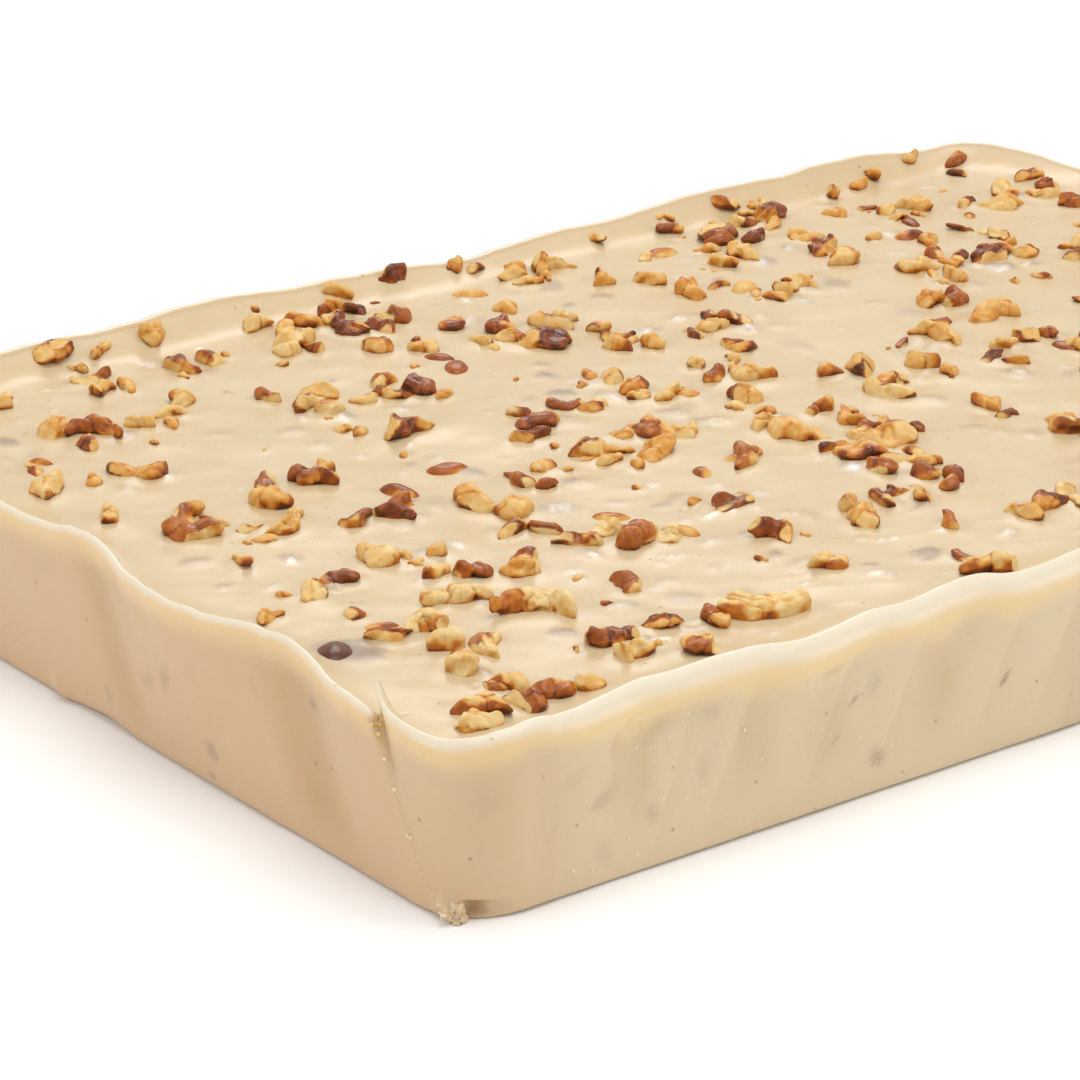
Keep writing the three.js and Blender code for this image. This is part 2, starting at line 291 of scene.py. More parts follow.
def addNode(tree, kind, inputs={}, **settings):
    made = tree.nodes.new(kind)
    for label, value in settings.items():
        setattr(made, label, value)
    setInputs(tree, made, inputs)
    return made


def startMaterial(name):
    material = bpy.data.materials.new(name)
    material.use_nodes = True
    tree = material.node_tree
    tree.nodes.clear()
    surface = addNode(tree, "ShaderNodeBsdfPrincipled")
    addNode(tree, "ShaderNodeOutputMaterial", {"Surface": surface.outputs[0]})
    place = addNode(tree, "ShaderNodeTexCoord").outputs["Object"]
    return material, tree, surface, place


def perPitch(pitch):
    return 1 / (pitch * mm)  # texture scale for a pattern of that many mm


fudgeLook = {
    "body": "d5be98",
    "mottle": "ccb084",  # broad drifts of more caramel
    "pale": "dac6a5",  # the long walls
    "sideShade": "d2af88",  # painted shade: the short walls darker and pinker
    "glow": "eacd98",  # painted glow of the light that comes through the rim
    "crest": "e4dac6",  # painted highlight on its thin edge, nearly white
    "hollowShade": "bb9664",  # painted shade in the hollows where the lining pressed in
    "glossAndGlint": "ece2d8",  # thin glossy smears on the top, with a painted glint
    "sunken": "957f6e",  # pecans just under the skin
    "speck": "6a4a30",
    "driftPitch": 34,
    "grainPitch": 2.2,
    "speckPitch": 7,
    "skinPitch": 0.9,
    # how strong each is at most, in the order in which they lie over each other
    "strengths": {"pale": 0.8, "sideShade": 0.9, "hollowShade": 0.6, "sunken": 1, "glow": 0.8, "crest": 0.9,
                  "glossAndGlint": 0.58},
}


def boiledFudge():
    # sugar fudge, poured warm and set: satin, a little see-through, smooth where it lay on the lining
    look = fudgeLook
    material, tree, surface, place = startMaterial("boiledFudge")
    fade = {label: addNode(tree, "ShaderNodeAttribute", attribute_name=label).outputs["Fac"]
            for label in look["strengths"]}
    drift = addNode(tree, "ShaderNodeTexNoise", {
        "Vector": place, "Scale": perPitch(look["driftPitch"]), "Detail": 3, "Roughness": 0.55})
    grain = addNode(tree, "ShaderNodeTexNoise", {
        "Vector": place, "Scale": perPitch(look["grainPitch"]), "Detail": 4, "Roughness": 0.6})
    driftShare = addNode(tree, "ShaderNodeMapRange", {
        "Value": drift.outputs["Fac"], "From Min": 0.42, "From Max": 0.7, "To Min": 0.0, "To Max": 0.55})
    grainShare = addNode(tree, "ShaderNodeMapRange", {
        "Value": grain.outputs["Fac"], "From Min": 0.5, "From Max": 0.8, "To Min": 0.0, "To Max": 0.3})
    # a few dark specks of pecan skin
    specks = addNode(tree, "ShaderNodeTexVoronoi", {"Vector": place, "Scale": perPitch(look["speckPitch"])})
    dot = addNode(tree, "ShaderNodeMapRange", {
        "Value": specks.outputs["Distance"], "From Min": 0.03, "From Max": 0.07, "To Min": 0.45,
        "To Max": 0.0})
    layers = [(driftShare.outputs[0], "mottle"), (grainShare.outputs[0], "mottle")]
    # the attributes lay painted shade, glow, highlight and glints over the colour, along with the real tints
    # and the sunken pecans
    layers += [(fade[label], label) for label in fade] + [(dot.outputs[0], "speck")]
    colour = linear(look["body"])
    for share, label in layers:
        colour = addNode(tree, "ShaderNodeMix", {
            mixFactor: share, mixA: colour, mixB: linear(look[label])}, data_type="RGBA").outputs[mixResult]
    # the top is satin like the walls, and glossy where it is smeared
    gloss = addNode(tree, "ShaderNodeMapRange", {
        "Value": fade["glossAndGlint"], "From Min": 0.0, "From Max": 0.6, "To Min": 0.32, "To Max": 0.17})
    skin = addNode(tree, "ShaderNodeTexNoise", {
        "Vector": place, "Scale": perPitch(look["skinPitch"]), "Detail": 3, "Roughness": 0.6})
    relief = addNode(tree, "ShaderNodeBump", {
        "Height": skin.outputs["Fac"], "Strength": 0.12, "Distance": 0.15 * mm})
    setInputs(tree, surface, {
        "Base Color": colour, "Roughness": gloss.outputs[0], "Normal": relief.outputs[0], "IOR": 1.46,
        "Subsurface Weight": 0.35, "Subsurface Radius": (1.0, 0.62, 0.35), "Subsurface Scale": 3 * mm})
    return material


pecanLook = {
    # from broken flesh over thin skin to thick roasted skin
    "roasts": [(0.0, "e9cf95"), (0.2, "dfb56b"), (0.38, "d6953b"), (0.54, "c57820"), (0.7, "a85812"),
               (0.86, "873f09"), (1.0, "5a2a08")],
    "edge": "4a1f0c",
    "grainPitch": 1.7,
    "reliefPitch": 0.7,
}


def choppedPecan():
    # roasted pecan: cream to golden flesh where it broke, running into thin glossy red-brown skin
    look = pecanLook
    material, tree, surface, place = startMaterial("choppedPecan")
    # the roast also carries painted shade on the undersides
    roastAndShade, edge = (addNode(tree, "ShaderNodeAttribute", attribute_name=label).outputs["Fac"]
                   for label in ("roastAndShade", "edge"))
    grain = addNode(tree, "ShaderNodeTexNoise", {
        "Vector": place, "Scale": perPitch(look["grainPitch"]), "Detail": 4, "Roughness": 0.6})
    uneven = addNode(tree, "ShaderNodeMapRange", {
        "Value": grain.outputs["Fac"], "From Min": 0.3, "From Max": 0.7, "To Min": -0.11, "To Max": 0.11})
    depth = addNode(tree, "ShaderNodeMath", {0: roastAndShade, 1: uneven.outputs[0]}, operation="ADD", use_clamp=True)
    ramp = addNode(tree, "ShaderNodeValToRGB", {0: depth.outputs[0]})
    stops = ramp.color_ramp.elements
    while len(stops) < len(look["roasts"]):
        stops.new(0.5)
    for stop, (at, hexColour) in zip(stops, look["roasts"]):
        stop.position, stop.color = at, linear(hexColour)
    colour = addNode(tree, "ShaderNodeMix", {
        mixFactor: edge, mixA: ramp.outputs[0], mixB: linear(look["edge"])},
        data_type="RGBA").outputs[mixResult]
    gloss = addNode(tree, "ShaderNodeMapRange", {
        "Value": roastAndShade, "From Min": 0.2, "From Max": 0.7, "To Min": 0.48, "To Max": 0.27})
    fine = addNode(tree, "ShaderNodeTexNoise", {
        "Vector": place, "Scale": perPitch(look["reliefPitch"]), "Detail": 3, "Roughness": 0.6})
    relief = addNode(tree, "ShaderNodeBump", {
        "Height": fine.outputs["Fac"], "Strength": 0.3, "Distance": 0.22 * mm})
    setInputs(tree, surface, {
        "Base Color": colour, "Roughness": gloss.outputs[0], "Normal": relief.outputs[0], "IOR": 1.47,
        "Specular IOR Level": 0.4, "Subsurface Weight": 0.15, "Subsurface Radius": (1.0, 0.5, 0.25),
        "Subsurface Scale": 0.8 * mm})
    return material


# where the pecans lie

pecan = {
    "count": 244,
    "longest": 13,
    "shortest": 5.5,
    "margin": 7,
    "listedReach": 165,  # nearer to the fold than this, along both sides together, all pieces are listed
    "listedDepth": 78,  # where they are also nearer than this to the long wall
    "aloneShare": 0.5,
    "touchingShare": 0.36,
    "touchingSpread": 0.1,
    "apartShare": 0.5,
    "apartGap": 5,
    "tries": 120,
    "widthShares": (0.5, 0.8),
    "heightShares": (0.66, 0.9),
    "sunkShare": 0.34,
    "flushShare": 0.69,  # of those that only just show
    "seed": 19,
    "swell": 1.34,  # the pieces are larger than the lumps of the solid, most of all near the fold
    "farSwell": 1.1,
    "highest": 7,
    "farHighest": 5.5,
    # too small for the solid: how long, how many, how many of them beside another, how far apart
    "smallLengths": (4.6, 8.2),
    "smallCount": 185,
    "smallBeside": 85,
    "smallApart": 0.375,
    "chipLengths": (1.8, 4.4),
    "chipCount": 110,
    "chipBeside": 70,
    "chipApart": 0,
    "chipSkin": 0.4,
    "lengthPower": 1.5,  # most of them are short
    "besideShares": (0.8, 1.1),  # of the other one's length
    "smallWidths": (0.5, 0.9),
    "smallRoom": (24, 18),  # mm of the top's length and width that stay bare at the edges
    "edgeRoom": (8, 6),
    "smallSlack": 15,  # they may lie a little nearer to the fold
    "flushCount": 26,
    "flushLengths": (5, 10),
    "flushWidth": 0.6,
    "flushRoom": (90, 70),
    "flushMiddle": 0.4,  # a half would spread them evenly
}
pecanLabels = ("x", "y", "length", "width", "turn", "skin", "tone")

# nearest to the fold: x, y, length, width, turn in degrees, share of skin, and tone from cream to orange
nearPecans = [
    (-110, -45, 5.5, 4.6, -60, 1.0, 0.5), (-101.5, -48, 6.5, 6, -20, 0.4, 0.8),
    (-120, -53, 10.4, 5, -32, 0.3, 0.15), (-112, -67, 12, 8, -44, 0.35, 0.1),
    (-133, -61, 6.4, 5.6, -25, 0.3, 0.35), (-141, -61, 7.4, 3.2, -25, 0.7, 0.8),
    (-134.5, -71, 6.2, 5.4, 30, 0.1, 0.3), (-139, -80, 7, 6.6, 20, 0.35, 0.3),
    (-130, -75, 8.6, 4.6, 52, 0.5, 0.3), (-138, -92, 6.6, 3.9, -45, 0.4, 0.55),
    (-147.5, -98, 8.4, 4.7, -42, 0.35, 0.45), (-140, -100.5, 6.6, 5.2, -58, 0.9, 0.7),
    (-133.5, -99.5, 7, 4.4, -22, 0.6, 0.5), (-152, -103, 6.6, 4.2, -30, 0.1, 0.3),
    (-126, -101, 4.6, 4, -25, 0.1, 0.4), (-112, -87, 6, 4.6, -62, 0.95, 0.75),
    (-107.5, -87, 5.2, 4, -50, 0.95, 0.75), (-111, -94.5, 5.8, 5.6, -50, 0.1, 0.6),
    (-90.5, -67, 6.2, 4.4, 60, 0.8, 0.7), (-98, -87, 6.8, 3.8, -16, 0.75, 0.8),
    (-89, -91, 5.8, 4.4, 44, 0.5, 0.7), (-79, -93, 14, 6, -26, 0.15, 0.08),
    (-100, -100.5, 6, 4.4, -37, 0.5, 0.55), (-75, -51, 7.4, 6, -20, 0.95, 0.6),
    (-84, -44, 7.6, 3.6, -64, 0.8, 0.7), (-69, -52, 5.5, 5, -30, 0.05, 0.3),
    (-77, -42, 6.5, 4.5, -10, 0.15, 0.5), (-51, -64, 6.8, 5.8, -70, 0.65, 0.8),
    (-54, -82, 6.5, 5.5, -30, 0.2, 0.5), (-31, -102, 8.5, 5.5, -38, 0.25, 0.6),
]

# on the slope up to the far rim, and small bits near the fold: x, y and length
slopePecans = [
    (-109, 108, 10), (-98, 106, 7), (-84, 107, 8), (-60, 103, 8), (-35, 107, 7), (-19, 108, 7), (3, 105, 6),
    (38, 106, 7), (58, 103, 7), (78, 107, 9), (86, 104, 7), (109, 103, 8), (124, 106, 6), (139, 108, 6),
    (150, 104, 8), (156, 84, 8), (-156, 62, 7), (-155, 92, 8), (-140, 106, 8), (157, 40, 7),
]
nearChips = [
    (-117.4, -86, 2.6), (-99.6, -72.8, 3), (-115.6, -34.3, 3.4), (-104, -93, 2.2), (-95, -58, 2.6),
    (-62, -72, 3),
]
# pieces that only just show, in the same order of values as the nearest ones
flushPecans = [
    (-152.5, -60.4, 11.5, 8, 50, 1.0, 1.5), (-139, -56, 7, 4, -30, 0.5, 0.8),
    (-69.5, -36, 8, 5, -40, 0.6, 0.4),
]


def between(shares, t):
    return (1 - t) * shares[0] + t * shares[1]


def anywhere(draw, middle, bare):
    # a random place on the top, with bare mm of its length and width left out
    across, along = draw(), draw()
    return (across - middle) * (slab["length"] - bare[0]), (along - middle) * (slab["width"] - bare[1])


def isListed(x, y, slack):
    nearFold = x + y + (slab["length"] + slab["width"]) / 2 < pecan["listedReach"] - slack
    return nearFold and y + slab["width"] / 2 < pecan["listedDepth"] - slack


def placePecans():
    draw = seededRandom(pecan["seed"])
    pieces = [dict(zip(pecanLabels, row)) for row in nearPecans]
    scattered = pecan["count"] - len(pieces)
    alone = int(scattered * pecan["aloneShare"] + 0.5)
    for count, beside in ((alone, False), (scattered - alone, True)):
        hosts = pieces[len(nearPecans):]
        for i in range(count):
            length = pecan["longest"] - (pecan["longest"] - pecan["shortest"]) * math.sqrt(i / (count - 1))
            width = length * between(pecan["widthShares"], draw())
            margin = pecan["margin"] + length / 2
            for _ in range(pecan["tries"]):
                across, along = draw(), draw()
                turn = 180 * draw()
                x, y = (across - 0.5) * slab["length"], (along - 0.5) * slab["width"]
                if beside:
                    host = hosts[int(draw() * len(hosts))]
                    share = pecan["touchingShare"] + pecan["touchingSpread"] * across
                    x = host["x"] + share * (length + host["length"]) * math.cos(2 * math.pi * along)
                    y = host["y"] + share * (length + host["length"]) * math.sin(2 * math.pi * along)
                inside = abs(x) < slab["length"] / 2 - margin and abs(y) < slab["width"] / 2 - margin
                clear = all(
                    math.hypot(x - other["x"], y - other["y"]) >= (
                        pecan["touchingShare"] * (length + other["length"]) if beside
                        else pecan["apartShare"] * (length + other["length"]) + pecan["apartGap"])
                    for other in pieces)
                if inside and clear and not isListed(x, y, 0):
                    pieces.append({"x": x, "y": y, "length": length, "width": width, "turn": turn})
                    break
    for index, piece in enumerate(pieces):
        swell = pecan["swell"] if index < len(nearPecans) else pecan["farSwell"]
        piece["length"], piece["width"] = piece["length"] * swell, piece["width"] * swell
    for x, y, length in slopePecans + nearChips:
        width = length * between(pecan["widthShares"], draw())
        pieces.append({"x": x, "y": y, "length": length, "width": width, "turn": 180 * draw()})
    farthestX, farthestY = slab["length"] / 2 - pecan["edgeRoom"][0], slab["width"] / 2 - pecan["edgeRoom"][1]
    for kind in ("small", "chip"):
        hosts = pieces[len(nearPecans):]
        for i in range(pecan[kind + "Count"]):
            length = between(pecan[kind + "Lengths"], draw() ** pecan["lengthPower"])
            x, y = anywhere(draw, 0.5, pecan["smallRoom"])
            if i < pecan[kind + "Beside"]:
                host = hosts[int(draw() * len(hosts))]
                angle = 2 * math.pi * draw()
                reach = 0.5 * (host["length"] * between(pecan["besideShares"], draw()) + length)
                x, y = host["x"] + reach * math.cos(angle), host["y"] + reach * math.sin(angle)
            apart = pecan[kind + "Apart"]
            covered = any(math.hypot(x - other["x"], y - other["y"]) < apart * (length + other["length"])
                          for other in pieces)
            offTop = abs(x) > farthestX or abs(y) > farthestY
            if covered or offTop or isListed(x, y, pecan["smallSlack"]):
                continue
            width = length * between(pecan["smallWidths"], draw())
            pieces.append({"x": x, "y": y, "length": length, "width": width, "turn": 180 * draw()})
            if kind == "chip":
                pieces[-1]["skin"] = pecan["chipSkin"] * draw()
    for row in flushPecans:
        pieces.append(dict(zip(pecanLabels, row), sunk=pecan["flushShare"]))
    for _ in range(pecan["flushCount"]):
        length = between(pecan["flushLengths"], draw())
        x, y = anywhere(draw, pecan["flushMiddle"], pecan["flushRoom"])
        pieces.append({"x": x, "y": y, "length": length, "width": pecan["flushWidth"] * length,
                       "turn": 180 * draw(), "sunk": pecan["flushShare"]})
    for index, piece in enumerate(pieces):
        draw = seededRandom(pecan["seed"] + 1 + index)
        highest = pecan["highest"] if index < len(nearPecans) else pecan["farHighest"]
        piece["height"] = min(highest, piece["width"] * between(pecan["heightShares"], draw()))
    return pieces


# the top of the fudge

top = {
    "swellPitch": 27,  # mm, and how high each kind of wave stands
    "swell": 0.45,
    "ripplePitch": 10,
    "ripple": 0.24,
    "finePitch": 4.2,
    "fine": 0.07,
    "smearPitch": (30, 6.5),  # strokes of the spreader, along and across
    "smear": 0.1,
    "smearTurn": -30,  # degrees
    "warp": 5,  # mm, so that the waves don't line up
    "warpPitch": 38,
    "climb": 0.35,  # the fudge climbs on each pecan
    "sunkenSpots": [(-150.6, -62, 8, 6, -0.65, 0.85)],  # round a piece that only just shows
    "sunkenCount": 260,
    "sunkenLengths": (2.5, 9),
    "sunkenWidths": (0.45, 0.85),
    "sunkenStrengths": (0.15, 0.75),
    "sunkenRoom": (30, 30),  # mm of the top's length and width that stay bare at the edges
    "sunkenRise": 0.35,
    "seed": 7,
    # smears and threads on the top, each with a painted glint: x, y, half length, half width, turn in
    # degrees, rise
    "smears": [
        (-115.5, -57, 3.5, 2.2, 20, 0.3), (-144, -26.8, 4.6, 0.45, -6, 0.4), (-55, -47.2, 7.5, 0.6, -7, 0.4),
        (-39, -43, 2.6, 1.2, -30, 0.3), (-108, -61, 3, 1, -30, 0.3), (-84, -101, 3, 1.4, -20, 0.3),
        (-66, -106, 4, 0.9, -15, 0.3), (-87, -71, 2.5, 0.8, -25, 0.25), (-102, -91, 1.8, 0.9, -30, 0.25),
        (-49, -91, 3.2, 1, -28, 0.3), (-74, -60, 4, 0.8, -30, 0.25), (-94, -54, 3.6, 1, -22, 0.25),
    ],
    "smearCount": 46,
    "smearLengths": (2, 7),
    "glintCount": 70,
    "glintLengths": (0.7, 2.2),
    "smearWidths": (0.18, 0.48),
    "smearTurns": (-60, 0),
    "smearRises": (0.15, 0.35),
    "smearRoom": (40, 40),
    "smearMiddle": 0.46,  # a half would spread them evenly
    "veiledShare": 0.25,  # of the sunken pecans have a smear over them
    "veilRise": 0.2,
}


def placeSunken():
    # pecans just under the skin of the top: x, y, half length, half width, turn and strength
    draw = seededRandom(top["seed"])
    spots = list(top["sunkenSpots"])
    for _ in range(top["sunkenCount"]):
        half = between(top["sunkenLengths"], draw()) / 2
        spots.append((*anywhere(draw, 0.5, top["sunkenRoom"]), half,
                      half * between(top["sunkenWidths"], draw()), math.pi * draw(),
                      between(top["sunkenStrengths"], draw() ** 2)))
    return spots


def placeSmears(sunken):
    # the listed smears, small ones between the pecans, and some over sunken pecans
    draw = seededRandom(top["seed"] + 1)
    smears = [(*spot, math.radians(turn), rise) for *spot, turn, rise in top["smears"]]
    for kind in ("smear", "glint"):
        for _ in range(top[kind + "Count"]):
            half = between(top[kind + "Lengths"], draw() ** 2) / 2
            smears.append((*anywhere(draw, top["smearMiddle"], top["smearRoom"]), half,
                           half * between(top["smearWidths"], draw()),
                           math.radians(between(top["smearTurns"], draw())),
                           between(top["smearRises"], draw())))
    for x, y, halfLength, halfWidth, turn, _ in sunken:
        if draw() < top["veiledShare"]:
            smears.append((x + halfLength * (draw() - 0.5), y + halfLength * (draw() - 0.5), 0.8 * halfLength,
                           0.6 * halfWidth, turn, top["veilRise"]))
    return smears


def reachFrom(x, y, spot):
    # distance from a spot's middle in shares of its half sizes
    middleX, middleY, halfLength, halfWidth, turn = spot
    c, s = math.cos(turn), math.sin(turn)
    u = (x - middleX) * c + (y - middleY) * s
    v = (y - middleY) * c - (x - middleX) * s
    return np.hypot(u / halfLength, v / halfWidth)


def topRelief(x, y, pieces, sunken, smears):
    # height over the pour level, how much of a sunken pecan shows, and how much of a smear with its painted
    # glint
    points = np.stack([x, y], -1)
    warped = points + top["warp"] * np.stack([noise(points, top["warpPitch"], seed) for seed in (1, 2)], -1)
    height = top["swell"] * noise(warped, top["swellPitch"], 3)
    height += top["ripple"] * noise(warped, top["ripplePitch"], 4)
    height += top["fine"] * noise(points, top["finePitch"], 5)
    turn = math.radians(top["smearTurn"])
    along = (warped[..., 0] * math.cos(turn) + warped[..., 1] * math.sin(turn)) / top["smearPitch"][0]
    across = (warped[..., 1] * math.cos(turn) - warped[..., 0] * math.sin(turn)) / top["smearPitch"][1]
    strokes = noise(np.stack([along, across], -1), 1, 6)
    height += top["smear"] * (1 - np.abs(strokes)) ** 4
    shade = np.zeros(x.shape)
    for spotX, spotY, halfLength, halfWidth, turn, strength in sunken:
        near = np.abs(x - spotX) + np.abs(y - spotY) < 4 * halfLength
        reach = reachFrom(x[near], y[near], (spotX, spotY, halfLength, halfWidth, turn))
        reach += 0.3 * noise(points[near], 2.6, 9)
        shade[near] = np.maximum(shade[near], strength * (1 - smooth(0.4, 1.25, reach)))
        height[near] += top["sunkenRise"] * (1 - smooth(0.3, 1.3, reach))
    for piece in pieces:
        if "sunk" in piece:
            continue
        near = np.abs(x - piece["x"]) + np.abs(y - piece["y"]) < 2.4 * piece["length"]
        spot = (piece["x"], piece["y"], piece["length"] / 2, piece["width"] / 2, math.radians(piece["turn"]))
        reach = reachFrom(x[near], y[near], spot)
        height[near] += top["climb"] * bump(reach, 0.85, 0.5)
    glossAndGlint = np.zeros(x.shape)
    for smearX, smearY, halfLength, halfWidth, turn, rise in smears:
        near = np.abs(x - smearX) + np.abs(y - smearY) < 4 * halfLength
        ragged = 0.5 * min(1, halfWidth) * noise(points[near], 1.8, 8)
        reach = reachFrom(x[near], y[near], (smearX, smearY, halfLength, halfWidth, turn)) + ragged
        height[near] += rise * (1 - smooth(0.2, 1.2, reach))
        glossAndGlint[near] = np.maximum(glossAndGlint[near], 1 - smooth(0.5, 1.2, reach))
    return height, shade, glossAndGlint


# the walls of the fudge

wallForm = {
    "firstFlutes": ((33, 48, 71, 89, 113, 129), (24,), (18,)),  # mm along the near long wall and the next two
    "fluteStep": 19.5,
    "fluteEnd": 35,  # mm before the end of a wall
    "fluteJitter": 5,
    "fluteDepths": (0.25, 0.6),
    "fluteWidths": (5, 9),
    "fluteEdge": 1.5,  # each steps in at an edge and runs out over its width
    "streakPitch": (9, 70),  # golden and grey streaks of the long walls, along and up; the golden ones carry the painted glow and painted hollow shade further down
    "streakGlow": 0.9,
    "streakTint": 0.45,
    "streakShade": 0.16,
    # painted shade in the flutes
    "fluteShade": 0.35,
    "dentPitch": 15,
    "dent": 0.16,
    "finePitch": 5,
    "fine": 0.06,
    "crestPitch": 8,
    "seed": 31,
    "sunkenCount": 46,
    "sunkenLengths": (2.5, 7),
    "sunkenWidths": (0.4, 0.7),
    "sunkenHeights": (3, 29),
    "sunkenStrengths": (0.08, 0.38),
    "lifted": (starts[3] + shortRun / 2 - 20, 9, 2.2),  # place, spread and extra radius of the lifted edge
    # a swelling at the short wall's foot and the crumbled corner: place, spread, size, height and its spread
    "swelling": (starts[3] + shortRun / 2 - 33, 2.6, 1.3, 2.5, 2.6),
    "crumbledCorner": (-19.2, 2.3, 2, 1.8, 2.2),
    "chip": (-16.8, 10, 4),  # where it starts, how far it runs out, how deep it is
    "chipHeight": (3.2, 4.3),
    "cornerBand": (0.3, 40),  # share of the crest's bands of painted highlight and glow lost at the near corner, and over how many mm
    # the skin of the near long wall ends in an arch under the rim: mm along and height, then how deep it is
    "arch": [(12.6, 28.6), (14.4, 29.9), (16.2, 30.3), (18.4, 30.2), (20, 29.5), (23.1, 29.7), (27.9, 30.9),
             (36, 30.5)],
    "archDepth": 0.7,
    "archStart": (12, 12.8),
    "archEnd": (22, 36),
    # pecans under the skin that show best: along and wall, height, half sizes, turn, strength
    "spots": [
        (63.3, 0, 28.6, 3, 1, 0.1, 0.55), (75.4, 0, 7.7, 2.6, 1.6, -0.8, 0.55),
        (106.6, 0, 15.6, 1.7, 0.5, 1.2, 0.9), (64.9, 0, 14.5, 0.9, 0.6, 0.5, 0.8),
        (69.3, 0, 20.9, 1.3, 0.5, 1, 0.7), (10.3, 0, 17.1, 3, 1.4, 0.3, 0.3),
        (162.9, 3, 28.1, 1.8, 1.3, 0.4, 0.6), (131.4, 3, 8.2, 2.4, 1.5, -0.6, 0.55),
        (188.7, 3, 25.6, 0.8, 0.5, 0, 0.6), (130.5, 3, 2.9, 1.2, 0.8, 0, 0.5),
        (109.6, 3, 15, 3, 1.2, 0.3, 0.3),
    ],
}


def flutePlaces():
    draw = seededRandom(wallForm["seed"])
    places = []
    for start, run, first in zip(starts, runs, wallForm["firstFlutes"]):
        alongs = list(first)
        while alongs[-1] < run - wallForm["fluteEnd"]:
            alongs.append(alongs[-1] + wallForm["fluteStep"] + wallForm["fluteJitter"] * (2 * draw() - 1))
        for along in alongs:
            depth = between(wallForm["fluteDepths"], draw())
            places.append((start + along, depth, between(wallForm["fluteWidths"], draw())))
    return places


def wallRelief(place, shifted, z):
    # how far the wall stands out, how much of a sunken pecan shows, and how deep a flute is, which with a
    # band under the arch sets the painted shade there
    high = z / slab["rimHeight"]
    points = np.stack([place, z], -1)
    out = wallForm["dent"] * noise(points, wallForm["dentPitch"], 11)
    out += wallForm["fine"] * noise(points, wallForm["finePitch"], 12)
    fluted = smooth(0.04, 0.35, high) * (1 - smooth(0.74, 0.9, high))
    pressedShade = np.zeros(place.shape)
    edge = wallForm["fluteEdge"]
    for at, depth, width in flutePlaces():
        step = smooth(-edge, edge, place - at) * np.clip(1 - (place - at) / width, 0, 1) ** 1.6
        out -= depth * fluted * step
        pressedShade += depth * fluted * step
    at, spread, size, middle, tall = wallForm["swelling"]
    out += size * bump(place, at, spread) * bump(z, middle, tall)
    fromCorner = np.where(shifted > perimeter / 2, shifted - perimeter, shifted)
    at, spread, size = wallForm["chip"]
    ragged = fromCorner + 0.4 * noise(points, 2.2, 14)
    deep = smooth(at - 0.4, at + 0.4, ragged) * np.clip(1 - (ragged - at) / spread, 0, 1) ** 1.8
    out -= size * deep * (1 - smooth(*wallForm["chipHeight"], z + 0.4 * noise(points, 2.6, 15)))
    at, spread, size, middle, tall = wallForm["crumbledCorner"]
    out += size * bump(fromCorner, at, spread) * bump(z, middle, tall) * (1 + 0.8 * noise(points, 1.5, 13))
    under = np.interp(fromCorner, *np.array(wallForm["arch"]).T) + 0.25 * noise(points, 1.7, 17) - z
    arched = smooth(-0.2, 0.3, under) * (1 - smooth(3, 15, under))
    arched = arched * smooth(*wallForm["archStart"], fromCorner)
    arched = arched * (1 - smooth(*wallForm["archEnd"], fromCorner))
    out -= wallForm["archDepth"] * arched
    # a band of painted shadow just under the arched edge of the skin
    pressedShade += 2.2 * arched * (1 - smooth(0.4, 6, under))
    shade = np.zeros(place.shape)
    draw = seededRandom(wallForm["seed"] + 1)
    spots = [(starts[wall] + along, *rest) for along, wall, *rest in wallForm["spots"]]
    for _ in range(wallForm["sunkenCount"]):
        half = between(wallForm["sunkenLengths"], draw()) / 2
        spots.append((perimeter * draw(), between(wallForm["sunkenHeights"], draw()), half,
                      half * between(wallForm["sunkenWidths"], draw()), math.pi * draw(),
                      between(wallForm["sunkenStrengths"], draw() ** 3)))
    for *spot, strength in spots:
        near = np.abs(shifted - spot[0]) < 3 * spot[2]
        reach = reachFrom(shifted[near], z[near], spot)
        shade[near] = np.maximum(shade[near], strength * (1 - smooth(0.5, 1.3, reach)))
    return out, shade, pressedShade


def columnPlaces():
    # places of the mesh's columns, closer at the near corner and the flutes, and closest at the fold
    places = []
    for side, (begin, run) in enumerate(zip(starts - cornerRun / 2, runs)):
        count = slab["columnsAcross"] if side % 2 else slab["columnsAlong"]
        fine = np.linspace(begin, begin + run + cornerRun, 6000)
        fromCorner = np.minimum(np.abs(fine + cornerRun / 2), np.abs(perimeter - cornerRun / 2 - fine))
        more, spread = slab["closerAtCorner"]
        density = 1 + more * np.exp(-fromCorner / spread)
        marks = [(foldAt, slab["closerAtFold"])] + [(at, slab["closerAtFlute"]) for at, _, _ in flutePlaces()]
        for at, (more, spread) in marks:
            density += more * bump(fine, at, spread)
        filled = np.concatenate([[0], np.cumsum((density[1:] + density[:-1]) / 2)])
        places.append(np.interp(np.arange(count) / count * filled[-1], filled, fine))
    return np.mod(np.concatenate(places), perimeter)


